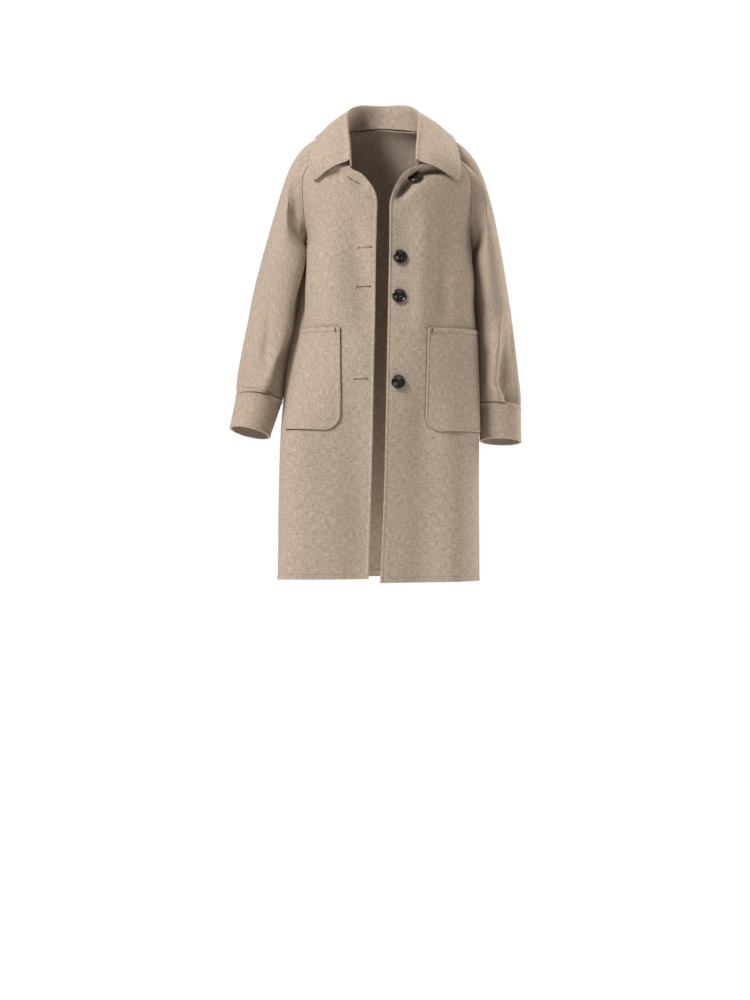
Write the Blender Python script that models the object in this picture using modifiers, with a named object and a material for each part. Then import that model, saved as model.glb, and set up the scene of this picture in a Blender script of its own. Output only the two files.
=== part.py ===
"""A thigh-length raglan coat of double-faced cashmere, worn open, cut panel by panel.

The front faces -Y, the wearer's left is +X and Z is up. The origin is the middle of the neck
opening, level with the side neck points, where the wearer's shoulders hold the coat.
"""
import math
from collections import namedtuple

import bmesh
import bpy
import numpy as np

# Driving sizes in metres
MM = 0.001
CLOTH = 2.8 * MM
CUFF_CLOTH = 3.6 * MM
SEAM_GAP = 0.3 * MM
COLLAR_RISE = 1.2 * MM
BUTTON_RADIUS = 13.0 * MM
BUTTON_THICK = 4.2 * MM
BUTTON_SHANK = 3.0 * MM
SHANK_RADIUS = 2.2 * MM
BUTTON_EDGE = 1.6 * MM
BUTTON_ROUND = 0.8 * MM
BUTTON_DISH = 1.7 * MM
POCKET_CORNER = 30.0 * MM
POCKET_PUFF = 2.4 * MM
POCKET_OVERHANG = 5.0 * MM
RIDGE = 3.5 * MM
RIDGE_ROOM = 10.0 * MM
RIDGE_LIMIT = 0.3
RIDGE_ROOM_LIMIT = 0.3
WELD = 0.001 * MM
CUFF_GAP = 0.8 * MM
UNDERARM_GAP = 0.6 * MM
RAGLAN_GAP = 0.5 * MM
SEAM_SQUARE = 0.45
CAP_FLARE = 0.06

# Steps along and across the panels
FRONT_STEPS = 10
BACK_STEPS = 9
HEM_TO_UNDERARM_STEPS = 13
RAGLAN_SHARES = (0.0, 0.02, 0.12, 0.25, 0.37, 0.49, 0.61, 0.73, 0.86, 1.0)
NECK_ARC = (0.5, 0.9, 1.0)
CAP_STEPS = 6
ARM_STEPS = 13
COLLAR_STEPS = 30
FALL_STEPS = 6
POCKET_STEPS = 9
POCKET_CROWDING = 1.35
CUFF_STEPS = 24
BUTTON_STEPS = 24
HALVINGS = 40

# Small shares of a panel or a ring for slopes, and leans of the outward sides
RING_NEAR = 0.05
ARRIVE_NEAR = 0.04
RIDGE_NEAR = 0.02
NORMAL_NEAR = 0.01
SHOULDER_LEAN = 0.02
COLLAR_LEAN = 0.5

SIGN = {"right": -1, "left": 1}

# A front panel's rows in mm, hem to neck: its front edge, its side seam or raglan seam, and the
# angle in degrees that the cloth turns through between them. Row 7 ends at the underarm.
FrontRow = namedtuple("FrontRow", "edge_x edge_y edge_z side_x side_y side_z turn")
UNDERARM_ROW = 7
CORNER_ROW = 11
NECK_ROW = 13
FRONT_ROWS = {
    "right": (
        FrontRow(-27.0, -149, -853, -196, -80, -856, 80),
        FrontRow(-22.0, -147, -700, -189, -76, -700, 80),
        FrontRow(-19.0, -145, -580, -180, -68, -580, 80),
        FrontRow(-17.0, -143, -480, -168, -55, -480, 80),
        FrontRow(-15.0, -140, -380, -152, -42, -380, 80),
        FrontRow(-14.0, -137, -306, -146, -26, -306, 96),
        FrontRow(-13.2, -134, -255, -141.5, -10, -255, 102),
        FrontRow(-12.6, -132, -226, -142, 0, -226, 98),
        FrontRow(-11.5, -130, -187, -147, -36, -190, 68),
        FrontRow(-12.5, -129, -141, -151, -58, -143, 55),
        FrontRow(-36.0, -124, -105, -150, -67, -99, 44),
        FrontRow(-61.0, -113, -88, -127, -65, -64, 34),
        FrontRow(-62.0, -84, -58, -93, -58, -43, 30),
        FrontRow(-63.5, -60, -38, -70, -53, -34, 30),
    ),
    "left": (
        FrontRow(-6.0, -149, -860, 181, -66, -858, 80),
        FrontRow(1.0, -147, -700, 180, -65, -700, 80),
        FrontRow(4.0, -145, -580, 180, -62, -580, 80),
        FrontRow(6.0, -143, -480, 178, -55, -480, 82),
        FrontRow(8.0, -140, -380, 174, -45, -380, 86),
        FrontRow(9.5, -137, -306, 167, -24, -306, 103),
        FrontRow(10.7, -134, -255, 160, -8, -255, 108),
        FrontRow(11.1, -132, -226, 161, 0, -226, 105),
        FrontRow(11.4, -130, -187, 165, -38, -192, 86),
        FrontRow(13.5, -129, -147, 166, -58, -147, 66),
        FrontRow(34.0, -124, -107, 163, -68, -99, 46),
        FrontRow(64.5, -113, -85, 132, -65, -62, 34),
        FrontRow(64.5, -84, -60, 95, -58, -43, 30),
        FrontRow(65.0, -60, -38, 71, -53, -34, 30),
    ),
}

# The back panel's rows in mm: its middle, and the angles that it turns through to either side
BackRow = namedtuple("BackRow", "middle_x middle_y middle_z turn_right turn_left")
BACK_ROWS = (
    BackRow(-8, 150, -856, 99, 86),
    BackRow(-6, 147, -700, 107, 85),
    BackRow(-4, 142, -580, 112, 84),
    BackRow(-3, 138, -480, 115, 84),
    BackRow(-2, 133, -380, 116, 85),
    BackRow(-1, 130, -306, 115, 86),
    BackRow(0, 127, -255, 114, 90),
    BackRow(0, 126, -226, 105, 90),
    BackRow(0, 125, -186, 78, 78),
    BackRow(0, 122, -138, 66, 66),
    BackRow(0, 115, -88, 58, 58),
    BackRow(0, 104, -44, 54, 54),
    BackRow(0, 90, -12, 50, 50),
    BackRow(0, 75, 8, 50, 50),
)

# The back raglan seam in mm from the underarm to the neck, out from the middle of the body
RaglanPoint = namedtuple("RaglanPoint", "out depth height")
BACK_RAGLAN = (
    RaglanPoint(150, 45, -188),
    RaglanPoint(154, 66, -140),
    RaglanPoint(145, 74, -92),
    RaglanPoint(118, 71, -50),
    RaglanPoint(88, 60, -18),
    RaglanPoint(62, 45, -1),
)

# Where the overarm seam meets the neck, in mm
NECK_SIDE = RaglanPoint(69, -5, -11)

# Rings of each sleeve in mm, upper arm to cuff seam to cuff mouth, how far the overarm seam has
# come round to the front there, how far the ring's outer side is tipped up and how far its long
# axis is turned in at the front, in degrees
ArmRing = namedtuple("ArmRing", "out depth height half_width half_depth twist tip yaw")
ARM_RINGS = {
    "right": (
        ArmRing(193.5, 11, -262, 37.9, 73, 8, 12, 6),
        ArmRing(201.5, 13, -300, 41.0, 72, 14, 11, 6),
        ArmRing(209.0, 13, -345, 43.3, 70, 22, 10, 6),
        ArmRing(218.0, 8, -400, 44.5, 66, 30, 10, 6),
        ArmRing(227.2, -1, -455, 46.0, 60, 39, 9, 3),
        ArmRing(233.0, -9, -497, 45.4, 53, 45, 8, 0),
        ArmRing(234.5, -12, -514, 44.0, 48, 46, 7, 0),
        ArmRing(252.0, -25, -578, 39.6, 44, 46, 8, 0),
    ),
    "left": (
        ArmRing(198.5, 15, -262, 31.0, 74, 8, 10, 0),
        ArmRing(203.0, 17, -300, 32.5, 73, 10, 9, 0),
        ArmRing(207.5, 16, -345, 35.0, 70, 13, 7, 0),
        ArmRing(211.0, 10, -400, 38.5, 65, 16, 5, 0),
        ArmRing(215.0, 2, -455, 40.5, 60, 19, 2, 0),
        ArmRing(218.5, -6, -508, 42.5, 53, 22, -3, 0),
        ArmRing(219.5, -9, -530, 42.0, 48, 23, -5, 0),
        ArmRing(222.5, -18, -597, 39.4, 44, 23, -2, 0),
    ),
}
CUFF_RING = 6
ArmFrame = namedtuple("ArmFrame", "middle outward forward down half_width half_depth twist")
Armhole = namedtuple("Armhole", "point angle leave ridge pull_start pull_end")

# The cuff's wall round its section: the share down the band, and 1 for its inner face
CUFF_WALL = ((0.0, 0), (0.34, 0), (0.67, 0), (1.0, 0), (1.0, 1), (0.67, 1), (0.34, 1), (0.0, 1))

# How a sleeve leaves the armhole, by the angle round the arm (0 faces the body, 90 the front,
# 180 outward): its direction, and its pull at the armhole and at the upper arm
SleeveStart = namedtuple("SleeveStart", "angle out back down pull_start pull_end")
SLEEVE_STARTS = (
    SleeveStart(0, 0.52, 0.00, 0.85, 0.32, 0.30),
    SleeveStart(45, 0.62, 0.24, 0.75, 0.34, 0.36),
    SleeveStart(95, 0.78, 0.30, 0.55, 0.36, 0.44),
    SleeveStart(145, 0.93, 0.08, 0.34, 0.38, 0.55),
    SleeveStart(180, 1.00, 0.00, 0.05, 0.36, 0.64),
    SleeveStart(215, 0.93, -0.08, 0.38, 0.38, 0.55),
    SleeveStart(265, 0.78, -0.26, 0.57, 0.36, 0.44),
    SleeveStart(315, 0.62, -0.20, 0.76, 0.34, 0.36),
    SleeveStart(360, 0.52, 0.00, 0.85, 0.32, 0.30),
)

# The pleat let into each sleeve above its cuff: its ridge, by height over the cuff seam in mm,
# the angle round the arm, and how far it stands out
Pleat = namedtuple("Pleat", "rise angle depth")
PLEATS = {
    "right": (Pleat(0, 92, 5.0), Pleat(30, 76, 6.5), Pleat(62, 62, 6.0), Pleat(110, 54, 2.5),
              Pleat(165, 50, 0.0)),
    "left": (Pleat(0, 106, 5.0), Pleat(36, 92, 6.5), Pleat(80, 100, 5.5), Pleat(130, 118, 2.0),
             Pleat(170, 126, 0.0)),
}
PLEAT_RISE_ANGLE = 46
PLEAT_FALL_ANGLE = 16

# The collar by station from its front end (0) to the middle of the back (5), in mm: the roll line
# and the outer edge, out from the middle, and how far the fall swells backward between them
CollarStation = namedtuple("CollarStation", "roll_x roll_y roll_z right_x left_x edge_y edge_z swell")
COLLAR = (
    CollarStation(60.0, -121, -76, 131, 143, -97, -116, -9),
    CollarStation(61.0, -82, -42, 139, 146, -86, -86, -8),
    CollarStation(65.0, -42, -4, 133, 140, -35, -39, -4),
    CollarStation(64.5, -4, 28, 120, 126, 14, -12, 0),
    CollarStation(44.0, 52, 49, 80, 82, 90, -25, 2),
    CollarStation(0.0, 80, 53, 0, 0, 113, -40, 2),
)
COLLAR_STATIONS = len(COLLAR) - 1
ROLL_OUT = 7.0 * MM
ROLL_TOP = 1.5 * MM
ROLL_DROP = 3.0 * MM
STAND_SHARES = (0.0, 0.5, 0.85)
FALL_BULGE = 5.0 * MM
FALL_LEAN = 0.4
FALL_TAPER = 0.4

# Pockets in mm: top and bottom heights and the front edge at each
Pocket = namedtuple("Pocket", "top bottom top_x bottom_x")
POCKETS = {
    "right": Pocket(-387, -577, -78, -80),
    "left": Pocket(-388, -580, 81, 79),
}

# Button centres in mm on the left front
BUTTON_PLACES = ((61, -108), (31, -257.5), (29.3, -330), (27.3, -489))

WOOL = (0.46, 0.385, 0.31, 1.0)
WOOL_ROUGHNESS = 0.9
BUTTON_BLACK = (0.012, 0.012, 0.013, 1.0)
BUTTON_ROUGHNESS = 0.15


def unit(vector):
    """A direction of length one."""
    return vector / np.linalg.norm(vector)


def through(rows, place):
    """The columns of a table at a place between its rows, on a smooth curve through them."""
    table = np.array([list(row) for row in rows], float)
    last = len(table) - 1
    place = min(max(place, 0.0), float(last))
    index = min(int(place), last - 1)
    share = place - index
    before = table[max(index - 1, 0)]
    start = table[index]
    end = table[index + 1]
    after = table[min(index + 2, last)]
    leave = (end - before) / (2.0 if index > 0 else 1.0)
    arrive = (after - start) / (2.0 if index + 2 <= last else 1.0)
    square = share * share
    cube = square * share
    return ((2 * cube - 3 * square + 1) * start + (cube - 2 * square + share) * leave
            + (3 * square - 2 * cube) * end + (cube - square) * arrive)


def by_key(rows, key):
    """The other columns of a table at a value of its first column."""
    keys = [row[0] for row in rows]
    place = float(np.interp(key, keys, range(len(keys))))
    return through(rows, place)[1:]


def turned(start, end, share, turn):
    """A point on cloth that turns from facing forward or back at start to the side at end."""
    angle = math.radians(turn)
    across = math.sin(angle * share) / math.sin(angle)
    deep = (1 - math.cos(angle * share)) / (1 - math.cos(angle))
    return np.array((start[0] + (end[0] - start[0]) * across,
                     start[1] + (end[1] - start[1]) * deep,
                     start[2] + (end[2] - start[2]) * share))


def raglan(side, half, place):
    """A point of a raglan seam in metres. Both seams run level into each other at the underarm."""
    front = [np.array(row[3:6], float) for row in FRONT_ROWS[side][UNDERARM_ROW:]]
    flip = np.array((SIGN[side], 1, 1))
    back = [front[0]] + [np.array(point, float) * flip for point in BACK_RAGLAN]
    rows = [back[1]] + front if half == "front" else [front[1]] + back
    return through(rows, place - UNDERARM_ROW + 1) * MM


def front_point(side, share, place):
    """A point of a front panel's outside, share 0 at its front edge and 1 at its side."""
    row = through(FRONT_ROWS[side], place)
    side_end = row[3:6] * MM if place <= UNDERARM_ROW else raglan(side, "front", place)
    return turned(row[0:3] * MM, side_end, share, row[6])


def back_raglan(side, place):
    """A point of the back panel's side edge, on the side seam below the underarm."""
    if place <= UNDERARM_ROW:
        return front_point(side, 1.0, place)
    return raglan(side, "back", place)


def back_point(share, place):
    """A point of the back's outside, share -1 at its right edge, 0 in the middle and 1 at its left."""
    side = "right" if share < 0 else "left"
    row = through(BACK_ROWS, place)
    middle = row[0:3] * MM
    turn = row[3] if side == "right" else row[4]
    return turned(middle, back_raglan(side, place), abs(share), turn)


def raglan_places():
    """Row places up the raglan seams, shared by the body panels and the sleeves."""
    return [UNDERARM_ROW + (NECK_ROW - UNDERARM_ROW) * share for share in RAGLAN_SHARES]


def armhole_points(side, half):
    """Points round half the armhole, from the underarm up the raglan seam to the overarm seam."""
    points = []
    for place in raglan_places():
        points.append(front_point(side, 1.0, place) if half == "front" else back_raglan(side, place))
    ends = (front_point(side, 1.0, NECK_ROW),
            np.array((SIGN[side] * NECK_SIDE.out, NECK_SIDE.depth, NECK_SIDE.height)) * MM,
            back_raglan(side, NECK_ROW))
    if half == "back":
        ends = ends[::-1]
    for share in NECK_ARC:
        points.append(through(ends, share))
    return points


def arm_frame(side, place):
    """The middle, directions, half sizes and twist of a sleeve at a ring."""
    rings = ARM_RINGS[side]
    out, depth, height, half_width, half_depth, twist, tip, yaw = through(rings, place)
    low = through(rings, min(place + RING_NEAR, len(rings) - 1))[0:3]
    high = through(rings, max(place - RING_NEAR, 0))[0:3]
    flip = np.array((SIGN[side], 1, 1))
    down = unit((low - high) * flip)
    outward = np.array((SIGN[side] * math.cos(math.radians(tip)), 0.0, math.sin(math.radians(tip))))
    forward = np.array((0.0, -1.0, 0.0)) + down * down[1]
    forward = unit(forward - outward * np.dot(forward, outward))
    turn_in = math.radians(yaw)
    outward, forward = (outward * math.cos(turn_in) + forward * math.sin(turn_in),
                        forward * math.cos(turn_in) - outward * math.sin(turn_in))
    middle = np.array((out, depth, height)) * flip * MM
    return ArmFrame(middle, outward, forward, down, half_width * MM, half_depth * MM, twist)


def pleat_height(side, angle, rise):
    """How far the pleat lifts the sleeve, rising slowly to its ridge and dropping away beyond it."""
    rows = PLEATS[side]
    if rise > rows[-1].rise:
        return 0.0
    ridge, depth = by_key(rows, rise)
    beyond = (angle - ridge) * (-1 if side == "right" else 1)
    span = PLEAT_FALL_ANGLE if beyond > 0 else PLEAT_RISE_ANGLE
    share = min(abs(beyond) / span, 1.0)
    return depth * MM * (0.5 + 0.5 * math.cos(math.pi * share))


def arm_point(side, angle, place):
    """A point on a sleeve below the armhole. The angle runs from the body by the front outward."""
    ring = arm_frame(side, place)
    turn = math.radians(angle - ring.twist)
    rise = ring.middle[2] / MM - ARM_RINGS[side][CUFF_RING].height
    lift = pleat_height(side, angle - ring.twist, rise) if place <= CUFF_RING else 0.0
    return (ring.middle - ring.outward * (ring.half_width + lift) * math.cos(turn)
            + ring.forward * (ring.half_depth + lift) * math.sin(turn))


def armhole(side, half):
    """Stations round half the armhole: where the sleeve starts, its angle round the arm, how it
    leaves the seam, and the direction of the seam's flattened ridge out from the body."""
    points = armhole_points(side, half)
    last = len(points) - 1
    steps = [np.linalg.norm(second - first) for first, second in zip(points, points[1:])]
    stations = []
    for index, point in enumerate(points):
        angle = 180 * sum(steps[:index]) / sum(steps)
        angle = angle if half == "front" else 360 - angle
        out, back, down, pull_start, pull_end = by_key(SLEEVE_STARTS, angle)
        along = unit(points[min(index + 1, last)] - points[max(index - 1, 0)])
        leave = np.array((SIGN[side] * out, back, -down))
        leave = unit(leave - along * np.dot(leave, along) * SEAM_SQUARE)
        ridge = leave
        if 1 < index < len(RAGLAN_SHARES):
            place = raglan_places()[index]
            arrive = arriving(side, half, place)
            if np.dot(arrive, leave) > RIDGE_LIMIT:
                ridge = unit(arrive + leave)
        stations.append(Armhole(point, angle, leave, ridge, pull_start, pull_end))
    return stations


def arriving(side, half, place):
    """The direction in which a body panel's cloth runs into the raglan seam."""
    near = 1 - ARRIVE_NEAR
    if half == "front":
        return unit(front_point(side, 1.0, place) - front_point(side, near, place))
    return unit(back_point(SIGN[side], place) - back_point(SIGN[side] * near, place))


def sleeve_line(side, start, share):
    """A point between the armhole and the upper arm, leaving one and arriving at the other smoothly."""
    end = arm_point(side, start.angle, 0)
    ring = arm_frame(side, 0)
    arrive = unit(ring.down - ring.outward * CAP_FLARE * math.cos(math.radians(start.angle)))
    begin = start.point + start.ridge * RIDGE
    span = np.linalg.norm(end - begin)
    pull = begin + start.leave * span * start.pull_start
    rest = end - arrive * span * start.pull_end
    other = 1 - share
    return (begin * other ** 3 + pull * 3 * other * other * share
            + rest * 3 * other * share * share + end * share ** 3)


def sleeve_half(side, half):
    """The rows of points of half a sleeve, armhole to cuff seam, underarm seam to overarm seam."""
    stations = armhole(side, half)
    rows = [[start.point + start.ridge * RAGLAN_GAP for start in stations]]
    for step in range(CAP_STEPS):
        rows.append([sleeve_line(side, start, step / CAP_STEPS) for start in stations])
    for step in range(ARM_STEPS + 1):
        place = CUFF_RING * step / ARM_STEPS
        rows.append([arm_point(side, start.angle, place) for start in stations])
    return part_seam(rows)


def part_seam(rows):
    """Draw the overarm and underarm edges of a sleeve half back from its other half."""
    for index, line in enumerate(rows):
        tight = max(1 - index / (2 * CAP_STEPS), 0.0)
        line[-1] = line[-1] - unit(line[-1] - line[-2]) * SEAM_GAP
        line[0] = line[0] - unit(line[0] - line[1]) * (SEAM_GAP + UNDERARM_GAP * tight)
    return rows


def panel_places():
    """Row places of a body panel from the hem to the underarm and on to the neck."""
    lower = [UNDERARM_ROW * step / HEM_TO_UNDERARM_STEPS for step in range(HEM_TO_UNDERARM_STEPS)]
    return lower + raglan_places()


def side_ridge(side, place):
    """The side seam's point and the direction across its pressed ridge, towards the front."""
    near = 1 - RIDGE_NEAR
    seam = front_point(side, 1.0, place)
    from_front = unit(seam - front_point(side, near, place))
    from_back = unit(seam - back_point(SIGN[side] * near, place))
    return seam, unit(from_back - from_front)


def panel_row(side, half, index, points):
    """Finish a body panel's row at the side with a strip along its seam's flattened ridge."""
    places = panel_places()
    if index <= HEM_TO_UNDERARM_STEPS:
        seam, ridge = side_ridge(side, places[index])
        inward = ridge if half == "front" else -ridge
        return points + [seam + inward * RIDGE, seam + inward * SEAM_GAP / 2]
    start = armhole(side, half)[index - HEM_TO_UNDERARM_STEPS]
    inward = -start.ridge
    if np.dot(inward, points[-1] - start.point) < 0 or np.allclose(start.ridge, start.leave):
        inward = unit(points[-1] - start.point)
    return points + [start.point + inward * RIDGE, start.point + inward * SEAM_GAP]


def front_rows(side):
    """Rows of points of a front panel, front edge to side."""
    rows = []
    for index, place in enumerate(panel_places()):
        width = np.linalg.norm(front_point(side, 1.0, place) - front_point(side, 0.0, place))
        far = 1 - min(RIDGE_ROOM / width, RIDGE_ROOM_LIMIT)
        points = [front_point(side, far * step / FRONT_STEPS, place) for step in range(FRONT_STEPS + 1)]
        rows.append(panel_row(side, "front", index, points))
    return rows


def back_rows():
    """Rows of points of the back, right side to left side."""
    rows = []
    for index, place in enumerate(panel_places()):
        width = np.linalg.norm(back_point(1.0, place) - back_point(0.0, place))
        far = 1 - RIDGE_ROOM / width
        halves = []
        for side in SIGN:
            points = [back_point(SIGN[side] * far * step / BACK_STEPS, place)
                      for step in range(BACK_STEPS + 1)]
            halves.append(panel_row(side, "back", index, points))
        rows.append(halves[0][:0:-1] + halves[1])
    return rows


def neck_line(side):
    """Points of the neckline from the front corner round to the middle of the back."""
    points = [front_point(side, 0.0, place) for place in (CORNER_ROW, CORNER_ROW + 1, NECK_ROW)]
    points.append(np.array((SIGN[side] * NECK_SIDE.out, NECK_SIDE.depth, NECK_SIDE.height)) * MM)
    points.append(back_raglan(side, NECK_ROW))
    points.append(back_point(0.0, NECK_ROW))
    return points


def collar_lines():
    """The neck seam, roll line and outer edge from the right front end round to the left one."""
    seam = neck_line("right")[:-1] + neck_line("left")[::-1]
    rolls = []
    edges = []
    swells = [[station.swell] for station in COLLAR[:-1] + COLLAR[::-1]]
    for station in COLLAR[:-1]:
        rolls.append((-station.roll_x, station.roll_y, station.roll_z))
        edges.append((-station.right_x, station.edge_y, station.edge_z))
    for station in COLLAR[::-1]:
        rolls.append((station.roll_x, station.roll_y, station.roll_z))
        edges.append((station.left_x, station.edge_y, station.edge_z))
    return seam, rolls, edges, swells


def collar_section(place):
    """Points across the collar at a station, from the neck seam over the roll to the outer edge."""
    seams, rolls, edges, swells = collar_lines()
    seam = through(seams, place)
    roll = through(rolls, place) * MM
    edge = through(edges, place) * MM
    swell = np.array((0.0, through(swells, place)[0] * MM, 0.0))
    up = np.array((0.0, 0.0, 1.0))
    outward = unit((edge - roll) * np.array((1.0, 1.0, 0.0)))
    base = seam - outward * CLOTH + up * COLLAR_RISE
    over = roll + outward * ROLL_OUT * 1.5 - up * ROLL_DROP
    points = [base + (roll - base) * share for share in STAND_SHARES]
    points.append(roll + outward * ROLL_OUT * 0.5 + up * ROLL_TOP)
    points.append(over)
    rise = (up + outward * FALL_LEAN) * FALL_BULGE + swell
    for step in range(1, FALL_STEPS + 1):
        share = step / FALL_STEPS
        bulge = math.sin(math.pi * share) * (1 - FALL_TAPER * share)
        points.append(over + (edge - over) * share + rise * bulge)
    return points


def collar_rows():
    """Rows of points across the collar, from its right front end round the back to its left."""
    rows = []
    for step in range(COLLAR_STEPS + 1):
        rows.append(collar_section(2 * COLLAR_STATIONS * step / COLLAR_STEPS))
    return rows


def front_place(side, height):
    """The row place of a front panel at a height in metres, at its front edge."""
    low = 0.0
    high = float(CORNER_ROW)
    for _ in range(HALVINGS):
        middle = (low + high) / 2
        if front_point(side, 0.0, middle)[2] < height:
            low = middle
        else:
            high = middle
    return low


def front_share(side, across, place):
    """The share of a front panel's width at a distance across, on one row."""
    low = 0.0
    high = 1.0
    for _ in range(HALVINGS):
        middle = (low + high) / 2
        if SIGN[side] * front_point(side, middle, place)[0] < SIGN[side] * across:
            low = middle
        else:
            high = middle
    return low


def front_normal(side, share, place):
    """The outward direction of a front panel."""
    near = NORMAL_NEAR
    along = front_point(side, share + near, place) - front_point(side, share - near, place)
    up = front_point(side, share, place + near) - front_point(side, share, place - near)
    return unit(np.cross(along, up) * SIGN[side])


def pocket_rows(side):
    """Rows of a pocket from the front panel's points moved out, its lower inner corner rounded."""
    pocket = POCKETS[side]
    tall = (pocket.top - pocket.bottom) * MM
    rows = []
    for step in range(POCKET_STEPS + 1):
        rise = tall * (step / POCKET_STEPS) ** POCKET_CROWDING
        height = pocket.bottom * MM + rise
        place = front_place(side, height)
        inner = (pocket.bottom_x + (pocket.top_x - pocket.bottom_x) * rise / tall) * MM
        short = max(POCKET_CORNER - rise, 0.0)
        inner += SIGN[side] * (POCKET_CORNER - math.sqrt(max(POCKET_CORNER ** 2 - short ** 2, 0.0)))
        near = front_share(side, inner, place)
        reach = np.linalg.norm(front_point(side, 1.0, place) - front_point(side, 0.5, place))
        far = 1 - 0.5 * RIDGE_ROOM / reach
        puff = POCKET_PUFF * (rise / tall) ** 2
        line = []
        for column in range(POCKET_STEPS + 1):
            across = column / POCKET_STEPS
            share = near + (far - near) * across
            lift = SEAM_GAP * 2 + CLOTH + puff * math.sin(math.pi * across)
            line.append(front_point(side, share, place) + front_normal(side, share, place) * lift)
        line.append(line[-1] + unit(line[-1] - line[-2]) * POCKET_OVERHANG)
        rows.append(line)
    return rows


def wool():
    """The cashmere's plain colour."""
    material = bpy.data.materials.get("cashmere") or bpy.data.materials.new("cashmere")
    material.use_nodes = True
    shader = material.node_tree.nodes["Principled BSDF"]
    shader.inputs["Base Color"].default_value = WOOL
    shader.inputs["Roughness"].default_value = WOOL_ROUGHNESS
    return material


def horn():
    """The buttons' glossy black."""
    material = bpy.data.materials.get("button_resin") or bpy.data.materials.new("button_resin")
    material.use_nodes = True
    shader = material.node_tree.nodes["Principled BSDF"]
    shader.inputs["Base Color"].default_value = BUTTON_BLACK
    shader.inputs["Roughness"].default_value = BUTTON_ROUGHNESS
    return material


def add_object(name, bm, material):
    """Put a finished shape into the coat's collection."""
    mesh = bpy.data.meshes.new(name)
    bm.to_mesh(mesh)
    bm.free()
    mesh.materials.append(material)
    for face in mesh.polygons:
        face.use_smooth = True
    piece = bpy.data.objects.new(name, mesh)
    coat.objects.link(piece)
    return piece


def grid_place(vertex, columns, rows):
    """The row and column of a vertex of a flat unit grid."""
    return round((vertex.co.y + 0.5) * rows), round((vertex.co.x + 0.5) * columns)


def cloth_panel(name, points, outward):
    """A cut piece of cloth: a grid laid on rows of points and thickened to the inside."""
    rows = len(points) - 1
    columns = len(points[0]) - 1
    bm = bmesh.new()
    bmesh.ops.create_grid(bm, x_segments=columns, y_segments=rows, size=0.5)
    for vertex in bm.verts:
        row, column = grid_place(vertex, columns, rows)
        vertex.co = points[row][column]
    bm.normal_update()
    facing = sum(np.dot(face.normal, outward(face.calc_center_median())) for face in bm.faces)
    if facing < 0:
        bmesh.ops.reverse_faces(bm, faces=bm.faces)
    piece = add_object(name, bm, wool())
    wall = piece.modifiers.new("cloth", "SOLIDIFY")
    wall.thickness = CLOTH
    wall.offset = -1.0
    wall.use_even_offset = False
    return piece


def cuff(side):
    """A cuff band, a closed ring of doubled cloth below the sleeve's end."""
    bm = bmesh.new()
    bmesh.ops.create_grid(bm, x_segments=CUFF_STEPS, y_segments=len(CUFF_WALL), size=0.5)
    last = len(ARM_RINGS[side]) - 1
    length = np.linalg.norm(arm_frame(side, last).middle - arm_frame(side, CUFF_RING).middle)
    start = CUFF_RING + CUFF_GAP / length
    for vertex in bm.verts:
        row, column = grid_place(vertex, CUFF_STEPS, len(CUFF_WALL))
        down, inside = CUFF_WALL[row % len(CUFF_WALL)]
        angle = 360.0 * (column % CUFF_STEPS) / CUFF_STEPS
        place = start + (last - start) * down
        point = arm_point(side, angle, place)
        inward = unit(arm_frame(side, place).middle - point)
        vertex.co = point + inward * CUFF_CLOTH * inside
    bmesh.ops.remove_doubles(bm, verts=bm.verts, dist=WELD)
    bmesh.ops.recalc_face_normals(bm, faces=bm.faces)
    return add_object("cuff_" + side, bm, wool())


def button(number, across, height):
    """A turned button with a raised rim and a dished middle on its thread shank."""
    place = front_place("left", height * MM)
    share = front_share("left", across * MM, place)
    normal = front_normal("left", share, place)
    foot = front_point("left", share, place) + normal * SEAM_GAP * 2
    rim = BUTTON_RADIUS
    top = BUTTON_SHANK + BUTTON_THICK
    profile = ((0.0, 0.0), (SHANK_RADIUS, 0.0), (SHANK_RADIUS, BUTTON_SHANK), (rim * 0.8, BUTTON_SHANK),
               (rim, BUTTON_SHANK + BUTTON_EDGE), (rim * 0.97, top - BUTTON_ROUND), (rim * 0.86, top),
               (rim * 0.72, top - BUTTON_DISH * 0.3), (rim * 0.5, top - BUTTON_DISH * 0.8),
               (0.0, top - BUTTON_DISH))
    bm = bmesh.new()
    verts = [bm.verts.new((radius, 0.0, height_up)) for radius, height_up in profile]
    edges = [bm.edges.new(pair) for pair in zip(verts, verts[1:])]
    bmesh.ops.spin(bm, geom=verts + edges, cent=(0, 0, 0), axis=(0, 0, 1), angle=2 * math.pi,
                   steps=BUTTON_STEPS, use_merge=True)
    bmesh.ops.remove_doubles(bm, verts=bm.verts, dist=WELD)
    bmesh.ops.recalc_face_normals(bm, faces=bm.faces)
    side = unit(np.cross((0.0, 0.0, 1.0), normal))
    up = np.cross(normal, side)
    for vertex in bm.verts:
        x, y, z = vertex.co
        vertex.co = foot + side * x + up * y + normal * z
    return add_object("button_%d" % number, bm, horn())


def away_from_body(point):
    """Roughly outward from the middle of the body."""
    return np.array((point[0], point[1], 0.0))


def away_from_arm(side):
    """Roughly outward from the middle of a sleeve."""
    def outward(point):
        middle = arm_frame(side, 0).middle
        return np.array((point[0] - middle[0], point[1] - middle[1], SHOULDER_LEAN))
    return outward


def upward(point):
    """The collar's shown face looks up and out."""
    return np.array((point[0] * COLLAR_LEAN, point[1] * COLLAR_LEAN, 1.0))


for thing in list(bpy.data.objects):
    bpy.data.objects.remove(thing, do_unlink=True)
coat = bpy.data.collections.new("cashmere_coat")
bpy.context.scene.collection.children.link(coat)

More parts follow.
